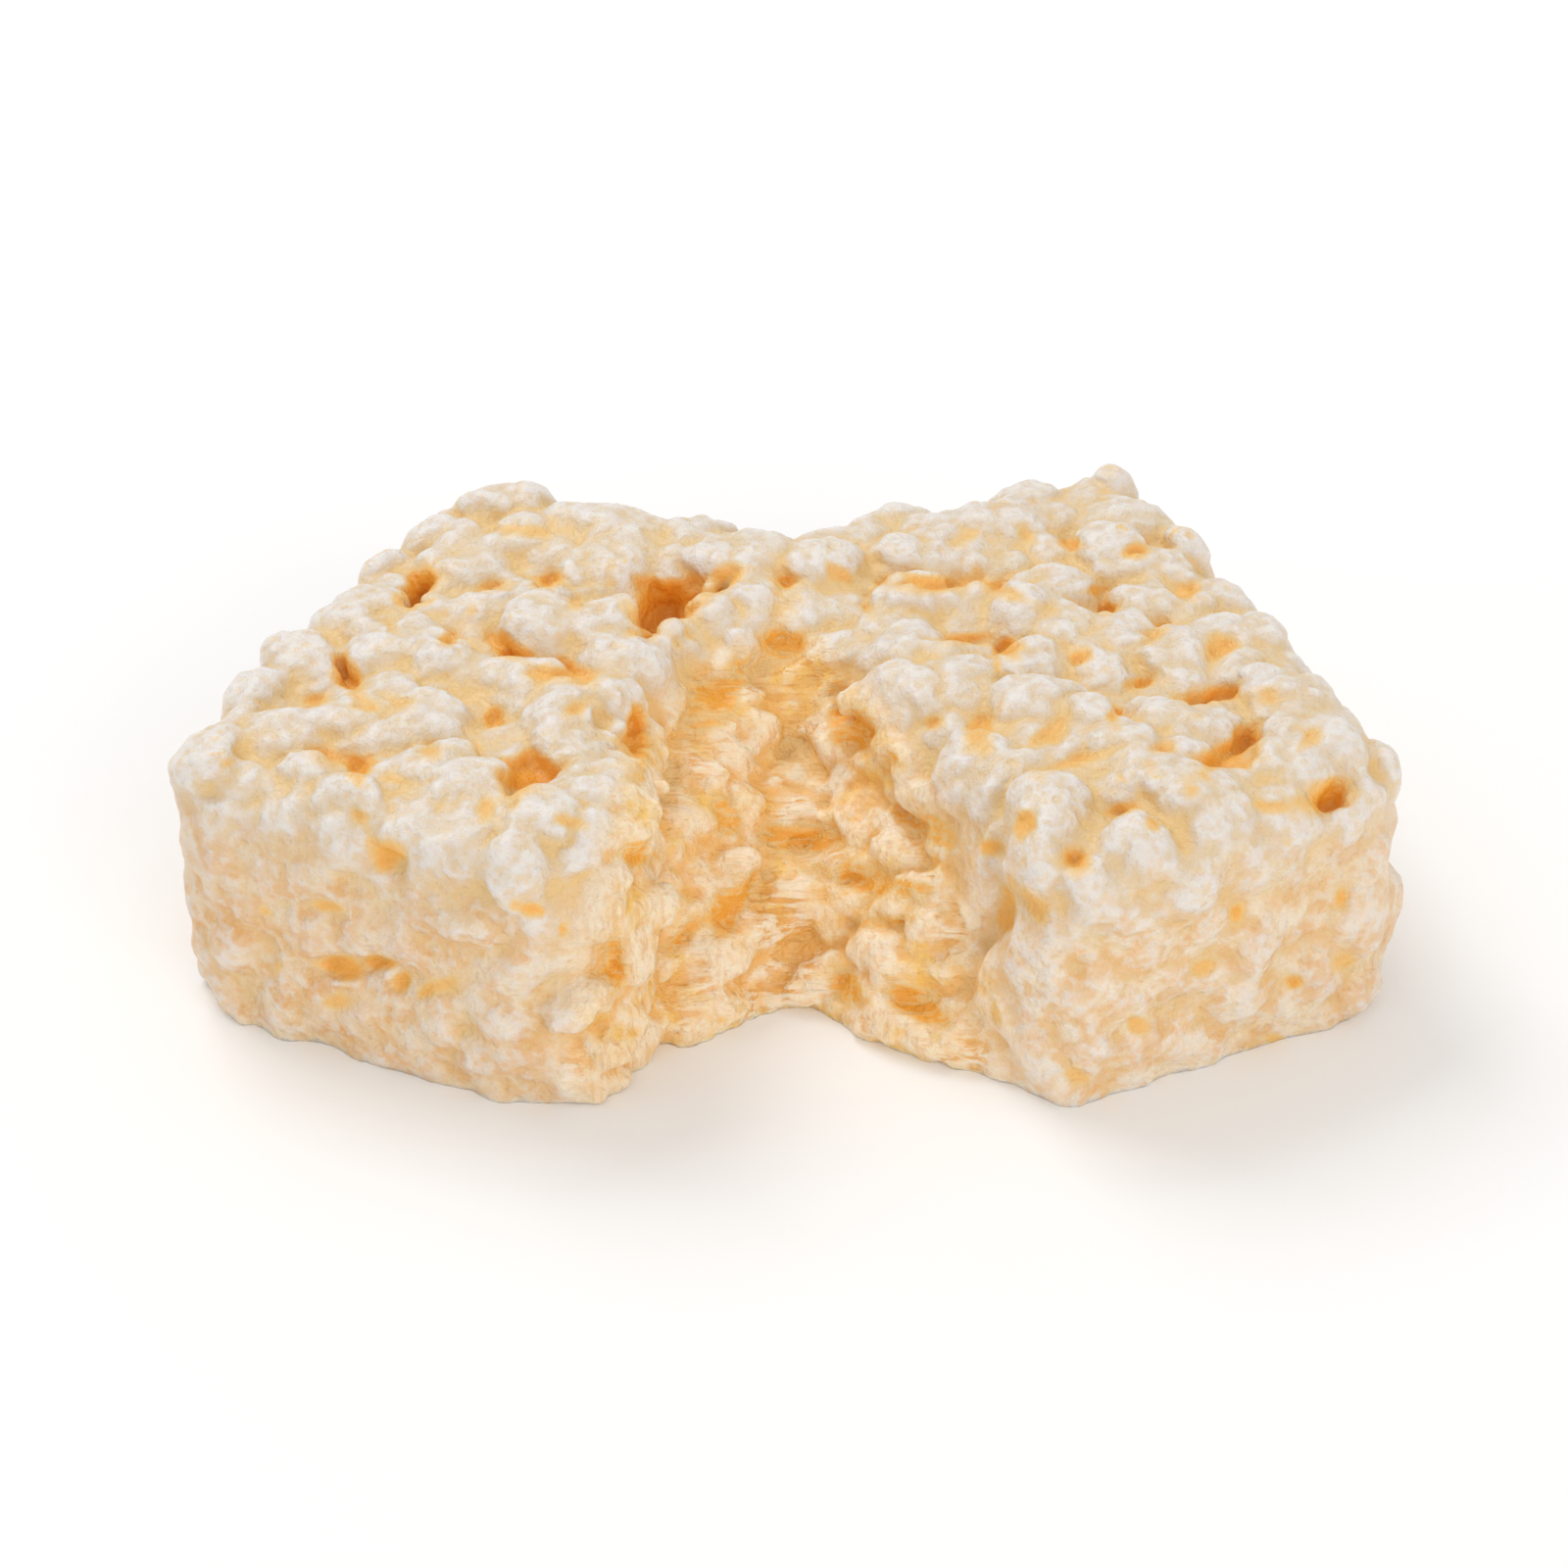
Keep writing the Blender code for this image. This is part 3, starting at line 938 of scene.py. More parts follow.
@dataclass(frozen=True)
class PuffedGrain:
    """The shape of a puffed grain of rice, on a sphere of radius 1 that its half sizes stretch."""

    half_sizes: Vector = Vector((3.2, 2.1, 1.8)) * MM
    crease: float = 0.15
    crease_width: float = 0.3
    blisters: float = 0.20
    blisters_per_radius: float = 1.9
    wrinkles: float = 0.06
    wrinkles_per_radius: float = 5.5
    bend: float = 0.14
    variants: int = 12

    def shape(self, rng: random.Random) -> Mesh:
        """Makes one grain: creased along its length, blistered, and a little bent.

        Args:
            rng: Draws its creases, blisters and bend.

        Returns:
            The mesh, within about 1 of the origin.
        """
        bm = bmesh.new()
        bmesh.ops.create_icosphere(bm, subdivisions=4, radius=1.0)
        creases = [rng.uniform(0, math.tau), rng.uniform(0, math.tau)]
        shift = Vector(rng.uniform(-50, 50) for _ in range(3))
        bend = self.bend * rng.uniform(-1, 1)
        for vert in bm.verts:
            way = vert.co.normalized()
            round_angle = math.atan2(way.z, way.y)
            radius = 1.0
            for crease in creases:
                off = abs((round_angle - crease + math.pi) % math.tau - math.pi)
                radius -= self.crease * math.exp(-((off / self.crease_width) ** 2)) * (1 - way.x**2)
            radius += self.blisters * noise.noise(way * self.blisters_per_radius + shift)
            radius += self.wrinkles * noise.noise(way * self.wrinkles_per_radius + shift)
            vert.co = way * radius
            vert.co.y += bend * (way.x**2 - 0.3)
        return mesh_of("grain", bm)


@dataclass(frozen=True)
class LayRule:
    """How the grains lie on one kind of face.

    Spacing is from middle to middle, and rise how far a middle stands above the core. Tilt is
    the steepest lean in degrees, and stretch scales a grain along its length, width and height.
    Level is the share of grains that lie level across, and not at any angle.
    """

    spacing: float
    rise: float
    tilt: float
    stretch: Triple
    level: float


@dataclass
class GrainCoat:
    """The grains that lie all over the core."""

    core: Core
    dents: Sequence[Dent]
    grain: PuffedGrain = field(default_factory=PuffedGrain)
    rules: dict[Face, LayRule] = field(
        default_factory=lambda: {
            Face.TOP: LayRule(4.0 * MM, 0.25 * MM, 14, (1.0, 1.3, 0.72), 0.0),
            Face.SIDE: LayRule(3.8 * MM, -0.7 * MM, 10, (1.0, 1.1, 0.85), 0.0),
            Face.TORN: LayRule(2.9 * MM, -0.2 * MM, 20, (1.15, 0.85, 0.8), 0.8),
        }
    )
    crowding: tuple[float, float] = (0.72, 1.2)
    sizes: tuple[float, float] = (0.75, 1.25)
    uneven_rise: float = 0.6 * MM
    gap_margin: float = 1.9 * MM
    gap_depth: float = 1.9 * MM
    lump_margin: float = 0.8 * MM
    lump_stretch: float = 1.08
    lowest: float = 0.8 * MM
    tries: int = 26000

    def places(self, core: Object, rng: random.Random) -> list[tuple[Vector, Vector, Face]]:
        """Spreads points over the core, clear of the deeper crevices and of each other.

        Args:
            core: The core.
            rng: Draws the points.

        Returns:
            Each point with its face's normal and kind.
        """
        core.data.calc_loop_triangles()
        triangles = [t for t in core.data.loop_triangles if t.normal.z > -0.6]
        gaps = [dent for dent in self.dents if dent.depth > self.gap_depth]
        lumps = [(lump, self.core.on_top(lump.across, lump.back)) for lump in LUMPS]
        found: list[tuple[Vector, Vector, Face]] = []
        taken = np.full((self.tries, 3), 1e3)
        for triangle in rng.choices(triangles, weights=[t.area for t in triangles], k=self.tries):
            first, second = sorted((rng.random(), rng.random()))
            corners = [core.data.vertices[i].co for i in triangle.vertices]
            point = corners[0] * first + corners[1] * (second - first) + corners[2] * (1 - second)
            crowding = rng.uniform(*self.crowding)
            if point.z < self.lowest:
                continue
            kind = self.core.kind_at(point, triangle.normal)
            spacing = self.rules[kind].spacing * crowding
            if found:
                near = taken[: len(found)] - np.array(point)
                if (np.einsum("ij,ij->i", near, near) < spacing * spacing).any():
                    continue
            if kind is Face.TOP and any(d.holds(point, self.gap_margin) for d in gaps):
                continue
            if any(
                (point - middle).xy.length < lump.half_width * MM + self.lump_margin
                for lump, middle in lumps
            ):
                continue
            taken[len(found)] = point
            found.append((point, triangle.normal.copy(), kind))
        return found

    def lay(self, bm: BMesh, core: Object, rng: random.Random) -> int:
        """Stamps the grains onto a bmesh.

        Args:
            bm: Takes the grains.
            core: The core.
            rng: Draws the grains' places, sizes and turns.

        Returns:
            How many grains were laid.
        """
        shapes = [self.grain.shape(rng) for _ in range(self.grain.variants)]
        places = self.places(core, rng)
        for point, normal, kind in places:
            rule = self.rules[kind]
            stretched = zip(self.grain.half_sizes, rule.stretch)
            half = Vector(h * s * rng.uniform(*self.sizes) for h, s in stretched)
            spin = rng.uniform(0, math.tau)
            if rng.random() < rule.level:
                spin = rng.gauss(0, 0.25)
            tilt = math.radians(rng.uniform(-1, 1) * rule.tilt)
            rise = rule.rise + rng.uniform(-1, 1) * self.uneven_rise
            place = stand(point + normal * rise, normal, spin, tilt)
            stamp(bm, rng.choice(shapes), place, half)
        for lump in LUMPS:
            half = Vector((lump.half_width, lump.half_length, lump.rise)) * MM * self.lump_stretch
            place = Matrix.Translation(self.core.on_top(lump.across, lump.back))
            stamp(bm, rng.choice(shapes), place, half)
        bpy.data.batch_remove(shapes)
        return len(places) + len(LUMPS)


@dataclass
class TornCrumbs:
    """Small lumps of torn marshmallow and broken rice, all over the tear and along its rims."""

    tear: Tear
    count: int = 3400
    smallest: float = 0.45 * MM
    largest: float = 0.95 * MM
    lowest: float = 1 * MM
    variants: int = 12

    def lay(self, body: Object, rng: random.Random) -> Object:
        """Stamps the crumbs onto the body, to be fused with it.

        Args:
            body: The square, which is replaced.
            rng: Draws the crumbs' places, sizes and turns.

        Returns:
            The square with its crumbs.
        """
        shapes = [self.shape(rng) for _ in range(self.variants)]
        skin = Skin(body.data)
        torn = self.tear.shares(skin.points)
        weights = np.where(torn > 0.5, 1.0, np.where(torn > 0.05, 0.8, 0.0))
        weights *= skin.points[:, 2] > self.lowest
        bm = bmesh_of(body)
        for index in rng.choices(range(len(weights)), weights=weights.tolist(), k=self.count):
            point, normal = Vector(skin.points[index]), Vector(skin.normals[index])
            size = self.smallest + (self.largest - self.smallest) * rng.random() ** 2
            spin = rng.gauss(0, 0.3)
            half = Vector((size * rng.uniform(1.1, 2.2), size * rng.uniform(0.7, 1.0), size * 0.8))
            place = stand(point - normal * size * rng.uniform(0.3, 0.7), normal, spin)
            stamp(bm, rng.choice(shapes), place, half)
        bpy.data.batch_remove(shapes)
        bpy.data.objects.remove(body)
        return object_of("square", bm)

    def shape(self, rng: random.Random) -> Mesh:
        """Makes one crumb: a small lumpy ball.

        Args:
            rng: Draws its lumps.

        Returns:
            The mesh.
        """
        bm = bmesh.new()
        bmesh.ops.create_icosphere(bm, subdivisions=2, radius=1.0)
        shift = Vector(rng.uniform(-50, 50) for _ in range(3))
        for vert in bm.verts:
            vert.co *= 1.0 + noise.noise(vert.co * 1.4 + shift) * 0.6
        return mesh_of("crumb", bm)


@dataclass(frozen=True)
class Wire:
    """A value or a colour that runs between a material's nodes."""

    paint: Paint
    socket: Socket

    def maths(self, operation: str, other: Wire) -> Wire:
        """Works out a value from two."""
        return self.paint.node("Math", "Value", {0: self, 1: other}, operation=operation)

    def __add__(self, other: Wire) -> Wire:
        """The sum of two values."""
        return self.maths("ADD", other)

    def __sub__(self, other: Wire) -> Wire:
        """What is left of a value after another is taken off."""
        return self.maths("SUBTRACT", other)

    def __mul__(self, other: Wire) -> Wire:
        """The product of two values."""
        return self.maths("MULTIPLY", other)

    def span(self, low: float, high: float, to_low: float = 0.0, to_high: float = 1.0) -> Wire:
        """Carries the value from one range to another, and stops it at the ends."""
        ends = {"From Min": low, "From Max": high, "To Min": to_low, "To Max": to_high}
        return self.paint.node("MapRange", "Result", {"Value": self, **ends})

    def bump(self, distance: float, strength: float, below: Wire | None = None) -> Wire:
        """Takes the value as the height of a fine relief on the shading.

        Args:
            distance: How high it is in all.
            strength: How clearly it shows.
            below: The relief that it is laid over, if any.

        Returns:
            The relief.
        """
        inputs = {"Height": self, "Distance": distance, "Strength": strength}
        if below is not None:
            inputs["Normal"] = below
        return self.paint.node("Bump", "Normal", inputs)


class Paint:
    """A material's nodes, with short ways to add and join them."""

    def __init__(self, name: str) -> None:
        """Starts a material with one shader.

        Args:
            name: The material's name.
        """
        self.material = bpy.data.materials.new(name)
        self.material.use_nodes = True
        self.tree = self.material.node_tree
        self.shader = self.tree.nodes["Principled BSDF"]

    @cached_property
    def place(self) -> Wire:
        """The place on the piece, in metres."""
        return self.node("TexCoord", "Object", {})

    def dress(self, values: dict[str, object]) -> bpy.types.Material:
        """Gives the shader its values.

        Args:
            values: What feeds each of its inputs.

        Returns:
            The material.
        """
        for name, value in values.items():
            self.feed(self.shader.inputs[name], value)
        return self.material

    def feed(self, socket: Socket, value: object) -> None:
        """Gives a socket its value.

        Args:
            socket: The socket.
            value: A wire, a number, a colour, or three numbers along the axes.
        """
        if isinstance(value, Wire):
            self.tree.links.new(value.socket, socket)
        elif isinstance(value, tuple) and len(socket.default_value) == 4:
            socket.default_value = (*value, 1.0)
        else:
            socket.default_value = value

    def node(
        self, kind: str, output: str | int, inputs: dict[str | int, object], **settings: object
    ) -> Wire:
        """Adds a node.

        Args:
            kind: Its type, without the words that all shader nodes start with.
            output: The name or place of the output that is wanted.
            inputs: What feeds its inputs.
            settings: Its properties.

        Returns:
            The output.
        """
        node = self.tree.nodes.new("ShaderNode" + kind)
        for name, value in settings.items():
            setattr(node, name, value)
        for name, value in inputs.items():
            self.feed(node.inputs[name], value)
        return Wire(self, node.outputs[output])

    def cloud(
        self, size: float, detail: float = 2.0, stretch: Triple | None = None,
        warp: float = 0.0, seed: float = 0.0,
    ) -> Wire:
        """A cloudy pattern from about 0.25 to 0.75.

        Args:
            size: How wide its clouds are.
            detail: How many finer patterns are laid on top.
            stretch: Scales the place along each axis; below 1 draws the clouds out along it.
            warp: How far the pattern is twisted.
            seed: Slides the pattern, so that two of one size differ.

        Returns:
            The pattern's value.
        """
        place = self.place
        if stretch is not None:
            place = self.node("Mapping", "Vector", {"Vector": place, "Scale": stretch})
        inputs = {"Vector": place, "Scale": 1.0 / size, "Detail": detail}
        inputs |= {"Distortion": warp, "W": seed}
        return self.node("TexNoise", "Fac", inputs, noise_dimensions="4D")

    def layers(
        self, colour: Wire | Triple, *rows: tuple[Wire | Triple, Wire], way: str = "MIX"
    ) -> Wire:
        """Lays colours over each other, each by its share.

        Args:
            colour: The lowest colour.
            rows: The colours over it, from the lowest, with their shares.
            way: How they are laid on.

        Returns:
            The colour that they all make.
        """
        factor, lower, upper, result = 0, 6, 7, 2
        for over, share in rows:
            inputs = {factor: share, lower: colour, upper: over}
            colour = self.node("Mix", result, inputs, data_type="RGBA", blend_type=way)
        return colour

    def attribute(self, name: str) -> Wire:
        """A value that the mesh carries at its points."""
        return self.node("Attribute", "Fac", {}, attribute_name=name)

    def axis(self, name: str) -> Wire:
        """The place on the piece along one axis, in metres."""
        return self.node("SeparateXYZ", name, {"Vector": self.place})


class Marks:
    """What the finish reads: the values that the mesh carries, and the patterns it shares."""

    def __init__(self, paint: Paint) -> None:
        """Adds their nodes.

        Args:
            paint: The material.
        """
        # The first four values drive the painted shade in creases, crevices and pits, and the
        # painted highlight on bumps.
        self.sunk = paint.attribute("sunk")
        self.dip = paint.attribute("dip")
        self.gap = paint.attribute("gap")
        self.hollow = paint.attribute("hollow")
        self.torn = paint.attribute("torn")
        self.strung = paint.attribute("strung")
        self.side = paint.attribute("side")
        self.mottle = paint.cloud(3.2 * MM, detail=4.0, warp=0.4)
        self.fine = paint.cloud(0.9 * MM, detail=3.0, seed=2.0)
        self.grit = paint.cloud(0.35 * MM, seed=9.0)
        self.streaks = paint.cloud(0.42 * MM, stretch=(0.09, 1.0, 1.0), seed=11.0)
        self.runs = paint.cloud(0.45 * MM, stretch=(1.0, 1.0, 0.12), seed=31.0)


@dataclass(frozen=True)
class Marshmallow:
    """The finish of the whole square: melted marshmallow over puffed rice.

    The last two colours tint what lies under them, as painted shade: the sides darken towards their
    ends, most at the left, and the tear's walls towards the left.
    """

    # Painted highlight: the whitest colour, laid on the tips of bumps.
    highlight_white: Triple = (0.78, 0.745, 0.715)
    white: Triple = (0.71, 0.635, 0.565)
    cream: Triple = (0.72, 0.57, 0.39)
    butter: Triple = (0.74, 0.545, 0.28)
    crust: Triple = (0.80, 0.52, 0.27)
    crust_light: Triple = (0.84, 0.725, 0.58)
    spot: Triple = (0.76, 0.43, 0.145)
    gold: Triple = (0.90, 0.60, 0.265)
    # Pale gold for the tear's patches, and also its painted highlight on bumps.
    gold_light: Triple = (0.90, 0.765, 0.575)
    yolk: Triple = (0.91, 0.57, 0.13)
    # Painted shade in the tear's creases.
    crease: Triple = (0.89, 0.50, 0.14)
    streak: Triple = (0.80, 0.40, 0.08)
    # The next three colours are painted shade in creases, crevices and pits, laid by depth and by
    # how shut in a point is.
    honey_shade: Triple = (0.80, 0.555, 0.245)
    amber_shade: Triple = (0.87, 0.475, 0.115)
    deep: Triple = (0.85, 0.385, 0.04)
    # The next two colours are painted shade, multiplied over the sides towards their ends and over
    # the tear's walls at the left.
    outer_shade: Triple = (0.94, 0.86, 0.75)
    wall_shade: Triple = (0.90, 0.86, 0.80)

    def material(self) -> bpy.types.Material:
        """Makes the material.

        Returns:
            The material, which reads the values that the square's mark method paints.
        """
        paint = Paint("marshmallow_rice")
        marks = Marks(paint)
        torn, fine = marks.torn, marks.fine
        wall = torn - marks.strung
        left = paint.axis("X").span(-18 * MM, -6 * MM, 0.9, 0.0)
        # How far a point lies in a crease, crevice or pit, for the painted shade below; the sides
        # get less of it.
        deep = marks.sunk + marks.mottle.span(0.3, 0.7, -0.2, 0.2)
        deep = deep - marks.side.span(0.0, 1.0, 0.0, 1.4)
        drawn = torn * marks.streaks.span(0.40, 0.60, -0.5, 0.5)
        gap = marks.gap * marks.sunk.span(-1.0, 0.2, 0.35, 1.0)
        gap = gap * (drawn + torn.span(0.0, 1.0, 1.0, 1.25))
        shade = marks.hollow * deep.span(0.9, 2.8)

        colour = paint.layers(
            self.untorn(paint, marks),
            (self.pulled(paint, marks), torn),
            (self.spot, marks.runs.span(0.38, 0.47, 0.4, 0.0) * wall),
        )
        # Painted shade: the tear's walls darken towards the left.
        colour = paint.layers(colour, (self.wall_shade, left * wall), way="MULTIPLY")
        # Painted shade: by how shut in and how deep a point is, and in and round each crevice, the
        # colour turns honey, then amber, then deep orange.
        colour = paint.layers(
            colour,
            (self.honey_shade, marks.hollow.span(0.15, 0.45, 0.0, 0.6)),
            (self.honey_shade, deep.span(-0.1, 0.9, 0.0, 0.9)),
            (self.honey_shade, gap.span(0.05, 0.38, 0.0, 0.95)),
            (self.amber_shade, gap.span(0.32, 0.66)),
            (self.amber_shade, deep.span(0.9, 2.0)),
            (self.deep, gap.span(0.66, 0.95)),
            (self.deep, shade.span(0.25, 0.6)),
        )

        strings = marks.streaks.span(0.36, 0.56) * marks.strung
        strings = strings + marks.runs.span(0.36, 0.60, 0.0, 0.4) * wall
        relief = marks.grit.bump(0.25 * MM, 0.5, fine.bump(0.5 * MM, 0.9))
        relief = strings.bump(0.25 * MM, 0.5, relief)
        return paint.dress(
            {
                "Base Color": colour,
                "Roughness": fine.span(0.3, 0.7, 0.38, 0.62),
                "Coat Weight": 0.12,
                "Coat Roughness": 0.25,
                "Subsurface Weight": 0.4,
                "Subsurface Radius": (1.0, 0.65, 0.3),
                "Subsurface Scale": 1.0 * MM,
                "Normal": relief,
            }
        )

    def untorn(self, paint: Paint, marks: Marks) -> Wire:
        """The top's whites and creams, and the sides' warmer crust, with painted shade lower down
        and in creases and a painted highlight on the tips of bumps.

        Args:
            paint: The material.
            marks: What it reads.

        Returns:
            The colour.
        """
        mottle, fine = marks.mottle, marks.fine
        wide = paint.cloud(7.0 * MM, seed=5.0)
        # Painted shade: points that stand less far out of the taut film turn from white to cream.
        low = marks.sunk + mottle.span(0.3, 0.7, -0.3, 0.3)
        whole = paint.layers(
            self.white,
            (self.cream, low.span(-1.0, -0.3)),
            (self.butter, wide.span(0.55, 0.72, 0.0, 0.5)),
        )

        across = paint.axis("X")
        freckles = paint.cloud(2.4 * MM, detail=4.0, warp=0.2, seed=23.0)
        specks = paint.cloud(1.8 * MM, detail=3.0, warp=0.2, seed=17.0)
        # Painted shade: the crust darkens towards the ends of the square, most at the left.
        outer = across.span(-46 * MM, 4 * MM, 1.0, 0.0) + across.span(32 * MM, 46 * MM, 0.0, 0.6)
        crust = paint.layers(
            self.crust_light,
            (self.crust, freckles.span(0.42, 0.58)),
            (self.crust_light, fine.span(0.50, 0.62, 0.0, 0.6)),
            (self.spot, specks.span(0.51, 0.62, 0.0, 0.8)),
        )
        crust = paint.layers(crust, (self.outer_shade, outer), way="MULTIPLY")

        edge = paint.axis("Z") + mottle.span(0.3, 0.7, -3 * MM, 3 * MM)
        side = marks.side * edge.span(14 * MM, 20 * MM, 1.0, 0.35)
        dip = marks.dip * side.span(0.0, 1.0, 1.0, 0.45)
        # Painted highlight: the tips of bumps turn the brightest white.
        puffed = dip.span(-0.45, 0.0, 0.85, 0.0) * fine.span(0.38, 0.56, 0.3, 1.0)
        return paint.layers(
            whole,
            (crust, side),
            (self.white, fine.span(0.50, 0.66, 0.0, 0.5)),
            (self.butter, marks.grit.span(0.32, 0.48, 0.5, 0.0)),
            (self.butter, fine.span(0.34, 0.46, 0.55, 0.0)),
            # Painted shade in creases.
            (self.honey_shade, dip.span(0.0, 0.38, 0.0, 0.9)),
            (self.highlight_white, puffed),
        )

    def pulled(self, paint: Paint, marks: Marks) -> Wire:
        """The tear's golds: yolky and pale patches, with darker streaks along its strings, painted
        shade in its creases and a painted highlight on its bumps.

        Args:
            paint: The material.
            marks: What it reads.

        Returns:
            The colour.
        """
        blobs = paint.cloud(1.7 * MM, detail=4.0, warp=0.3, seed=7.0)
        patches = paint.cloud(4.2 * MM, detail=3.0, stretch=(0.7, 1.0, 1.0), warp=0.3, seed=21.0)
        streaked = paint.cloud(4.5 * MM, seed=13.0)
        lines = marks.streaks.span(0.40, 0.49, 0.9, 0.0) * streaked.span(0.42, 0.54)
        return paint.layers(
            self.gold,
            (self.gold_light, blobs.span(0.42, 0.58)),
            (self.yolk, patches.span(0.52, 0.62, 0.0, 0.9)),
            (self.gold_light, patches.span(0.36, 0.46, 0.8, 0.0)),
            (self.gold_light, marks.fine.span(0.50, 0.66, 0.0, 0.5)),
            # Painted shade in the tear's creases, then a painted highlight on its bumps.
            (self.crease, marks.dip.span(0.0, 0.45, 0.0, 0.9)),
            (self.gold_light, marks.dip.span(-0.5, 0.0, 0.7, 0.0)),
            (self.streak, lines * marks.strung),
        )


@dataclass
class Treat:
    """The square itself: one fused skin, riding the part's one body in place of its node."""

    view: PhotoView = field(default_factory=PhotoView)
    core: Core = field(default_factory=Core)
    finish: Marshmallow = field(default_factory=Marshmallow)
    voxel: float = 0.3 * MM
    cover: float = 1.5 * MM
    film: float = 0.5 * MM
    bridge: float = 2.6 * MM
    lean: float = 1.0
    pressed_least: float = 0.38
    pressed_per_mm: float = 0.06
    deepest_per_width: float = 1.2
    upper_side: tuple[float, float] = (9 * MM, 13 * MM)
    triangles: int = 192_000
    looks: int = 48
    quick_looks: int = 24
    look_reach: float = 4.5 * MM

    def build(self) -> Object:
        """Builds and dresses the square.

        Returns:
            The finished piece.
        """
        rng = random.Random(SEED)
        plain = self.core.build()
        laid = [Dent.of(crevice, self.view, self.core.tree, self.cover) for crevice in CREVICES]
        self.dents = [dent for dent in laid if dent is not None]
        bm = bmesh.new()
        count = GrainCoat(self.core, self.dents).lay(bm, plain, rng)
        log.info("grains: %d", count)
        bm.from_mesh(plain.data)
        body = object_of("square", bm)
        bpy.data.objects.remove(plain)
        fuse(body, self.voxel)
        keep_outer_skin(body)
        swell(body, self.film)
        fuse(body, self.voxel)
        swell(body, -self.film)
        taut = self.taut_film(body)
        self.press_dents(body)
        body = TornCrumbs(self.core.tear).lay(body, rng)
        fuse(body, self.voxel)
        keep_outer_skin(body)
        self.work_skin(body)
        fuse(body, self.voxel)
        keep_outer_skin(body)
        self.trim_base(body)
        modify(body, "DECIMATE", ratio=self.triangles / triangles_of(body))
        self.keep_in_box(body)
        self.mark(body, taut)
        body.data.shade_smooth()
        body.data.materials.clear()
        body.data.materials.append(self.finish.material())
        log.info("square: %d triangles", triangles_of(body))
        return body

    def taut_film(self, body: Object) -> BVHTree:
        """Draws a film taut over the body, which bridges the gaps between grains.

        Args:
            body: The square.

        Returns:
            The film's faces.
        """
        film = object_of("taut_film", bmesh_of(body))
        fuse(film, 2 * self.voxel)
        swell(film, self.bridge)
        fuse(film, 2 * self.voxel)
        keep_outer_skin(film)
        swell(film, -self.bridge)
        tree = tree_of(film.data)
        bpy.data.objects.remove(film)
        return tree

    def depth_under(self, taut: BVHTree, point: Vector) -> float:
        """How deep a point lies under the taut film, below 0 for one that stands out of it."""
        nearest, normal, _, _ = taut.find_nearest(point)
        return (nearest - point).dot(normal)

    def press_dents(self, body: Object) -> None:
        """Sinks the skin into the crevices that the photograph shows, less so in the tear.

        Args:
            body: The square.
        """
        skin = Skin(body.data)
        ragged = self.ragged(skin)
        shares = [dent.share(skin.points, ragged) * self.sinking(dent) for dent in self.dents]
        depth = np.max(shares, axis=0) * (1 - 0.4 * self.core.tear.shares(skin.points))
        way = self.core_normals(skin) + np.array(self.view.back) * self.lean
        skin.points -= way / np.linalg.norm(way, axis=1)[:, None] * depth[:, None]
        skin.write_back()

    def sinking(self, dent: Dent) -> float:
        """How deep a dent is pressed: narrow ones stay shallow, so that none looks drilled.

        Args:
            dent: The dent.

        Returns:
            The depth.
        """
        width = (dent.half_long.length + dent.half_wide.length) / 2
        share = self.pressed_least + self.pressed_per_mm * dent.depth / MM
        return min(dent.depth * share, self.deepest_per_width * width)

    def ragged(self, skin: Skin) -> np.ndarray:
        """How far the crevices' rims are shifted at each point, as a share of their half sizes."""
        places = [Vector(point) / MM for point in skin.points.tolist()]
        return np.array([noise.noise(p / 3.2) * 0.9 + noise.noise(p / 1.3) * 0.5 for p in places])

    def work_skin(self, body: Object) -> None:
        """Evens the skin out where it was pressed or cut, and gives it its fine relief.

        The relief is a sum of round puffs, of widths in millimetres: one sum for the top, one for
        the sides, one for the tear, and one for its middle, where the puffs are drawn out.

        Args:
            body: The square.
        """
        skin = Skin(body.data)
        side, torn, strung = self.regions(skin)
        for _ in range(10):
            side = skin.near_mean(side)
        pressed = side * (1 - torn)
        skin.settle(0.35 + 0.4 * side * (1 - torn), 2)
        skin.settle(pressed * 0.6, 8)
        skin.settle(pressed * smooth_step(*self.upper_side, skin.points[:, 2]) * 0.7, 12)
        relief = np.zeros(len(skin.points))
        for index, shares in enumerate(zip(skin.points.tolist(), side, torn, strung)):
            point, sideways, pulled, drawn = shares
            place = Vector(point) / MM
            long_way = Vector((place.x * 0.42, place.y, place.z))
            rough = 0.65 + 0.7 * noise.noise(place / 4.0)
            whole = self.puffs(place, 4.0) * 0.75 + self.puffs(place, 2.2) * 0.4
            whole += self.puffs(place, 1.25) * 0.6 * rough
            flat = self.puffs(place, 3.4) * 0.35 + self.puffs(place, 1.3) * 0.5 * rough
            grains = self.puffs(place, 3.0) * 0.4 + self.puffs(place, 1.6) * 0.5
            grains += self.puffs(place, 0.9) * 0.4
            strings = self.puffs(long_way, 1.15) * 0.42 + self.puffs(long_way, 0.62) * 0.24
            untorn = whole + (flat - whole) * sideways
            ripped = grains + (strings - grains) * drawn
            relief[index] = untorn + (ripped - untorn) * pulled + noise.noise(place / 0.6) * 0.1
        skin.push((relief - 0.6) * MM)

    def puffs(self, place: Vector, width: float) -> float:
        """Round puffs of about a width, from about 0.3 in the creases between them to 1."""
        bent = place / width + noise.noise_vector(place / (width * 1.4)) * 0.5
        return 1.0 - noise.voronoi(bent)[0][0] ** 2

    def core_normals(self, skin: Skin) -> np.ndarray:
        """For each point, the way that the core's skin faces under it."""
        return np.array([self.core.tree.find_nearest(point)[1] for point in skin.points.tolist()])

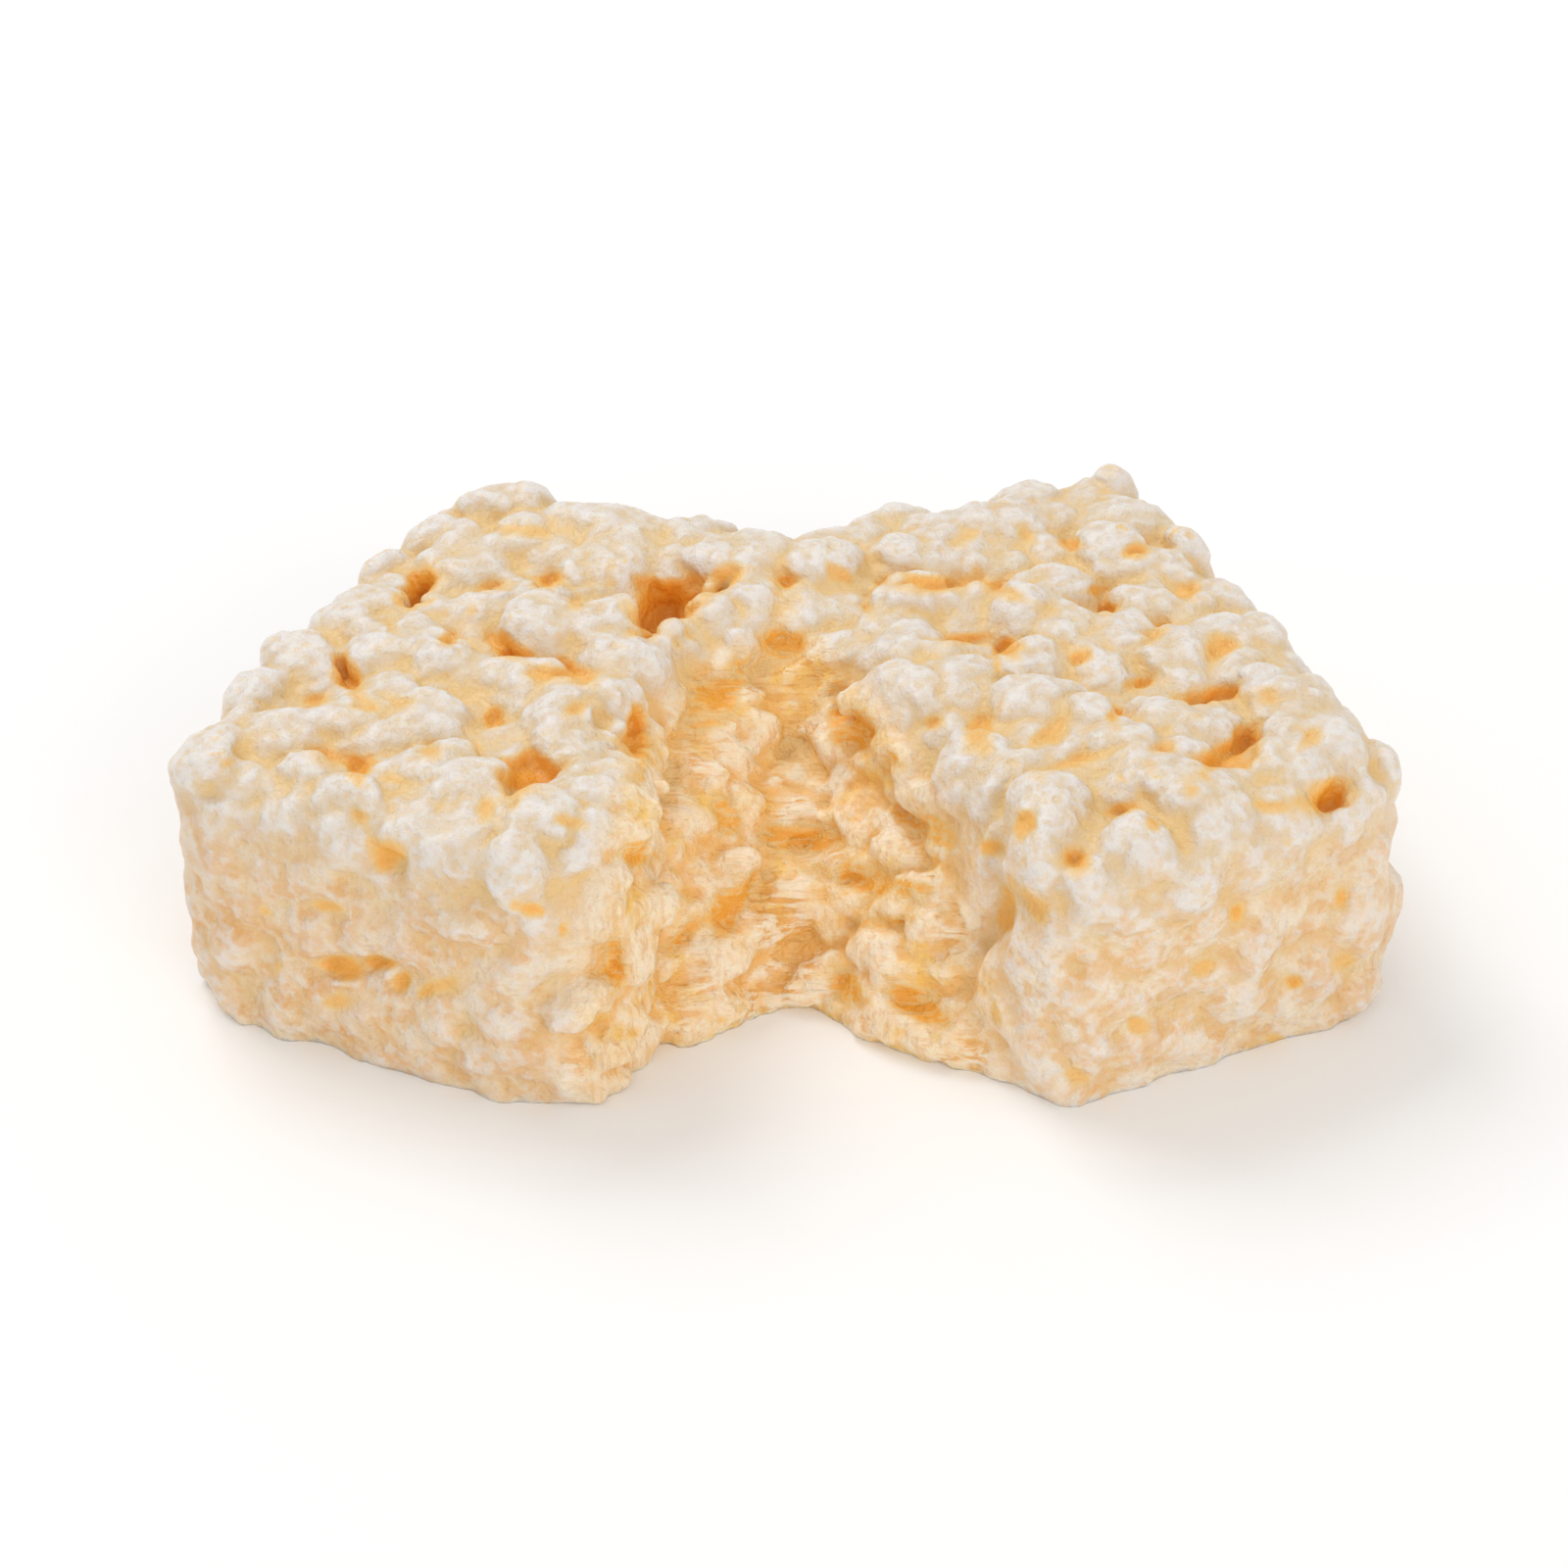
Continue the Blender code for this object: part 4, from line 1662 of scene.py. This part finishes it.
    def regions(self, skin: Skin) -> tuple[np.ndarray, np.ndarray, np.ndarray]:
        """Shares the points out among the kinds of skin.

        Args:
            skin: The square's skin.

        Returns:
            How far each point belongs to the sides, to the tear, and to its drawn-out middle.
        """
        across, _, rise = self.core_normals(skin).T
        torn = self.core.tear.shares(skin.points)
        strung = torn * (1 - smooth_step(0.35, 0.65, np.abs(across)))
        return 1 - smooth_step(0.45, 0.8, rise), torn, strung

    def trim_base(self, body: Object) -> None:
        """Cuts the base flat at the table.

        Args:
            body: The square.
        """
        bm = bmesh.new()
        bmesh.ops.create_cube(bm, size=1.0)
        width, height = 0.2, 0.02
        bmesh.ops.scale(bm, verts=bm.verts, vec=(width, width, height))
        bmesh.ops.translate(bm, verts=bm.verts, vec=(0.0, 0.0, -height / 2))
        slab = object_of("slab", bm)
        modify(body, "BOOLEAN", operation="DIFFERENCE", object=slab, solver="MANIFOLD")
        bpy.data.objects.remove(slab)
        keep_outer_skin(body)

    def keep_in_box(self, body: Object) -> None:
        """Pulls in any point that stands outside the part's own box.

        Args:
            body: The square.
        """
        low, high = (np.array(corner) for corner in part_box("treat"))
        skin = Skin(body.data)
        skin.points = np.clip(skin.points, low, high).astype(np.float32)
        skin.write_back()

    def mark(self, body: Object, taut: BVHTree) -> None:
        """Paints on the skin what its material reads.

        Args:
            body: The square.
            taut: The film over it, that each point's depth is measured from.
        """
        skin = Skin(body.data)
        side, torn, strung = self.regions(skin)
        for _ in range(12):
            side = skin.near_mean(side)
        # sunk, gap, dip and hollow drive the material's painted shade in creases, crevices and
        # pits; dip also drives its painted highlight on bumps.
        sunk = [self.depth_under(taut, Vector(point)) / MM for point in skin.points.tolist()]
        ragged = self.ragged(skin)
        # Painted golden shade in and round each crevice, darker in deeper dents.
        crevice_shades = [dent.painted_shade(skin.points, ragged) for dent in self.dents]
        looks = self.looks
        skin.paint("sunk", np.array(sunk))
        skin.paint("gap", np.max(crevice_shades, axis=0))
        skin.paint("dip", np.clip(skin.dips(5) * 1.2 + skin.dips(30), -1.0, 1.0))
        skin.paint("hollow", skin.hollowness(looks, self.look_reach))
        skin.paint("side", side)
        skin.paint("torn", torn)
        skin.paint("strung", strung)


def main() -> None:
    """Builds the square and its studio in order, and reports each piece."""
    logging.basicConfig(level=logging.INFO, format="%(message)s")
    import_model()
    noise.seed_set(SEED)
    treat = Treat()
    square = treat.build()
    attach(square, "root")
    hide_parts("treat")
    Studio().set_up()
    PhotoView().add_camera()


if __name__ == "__main__":
    main()
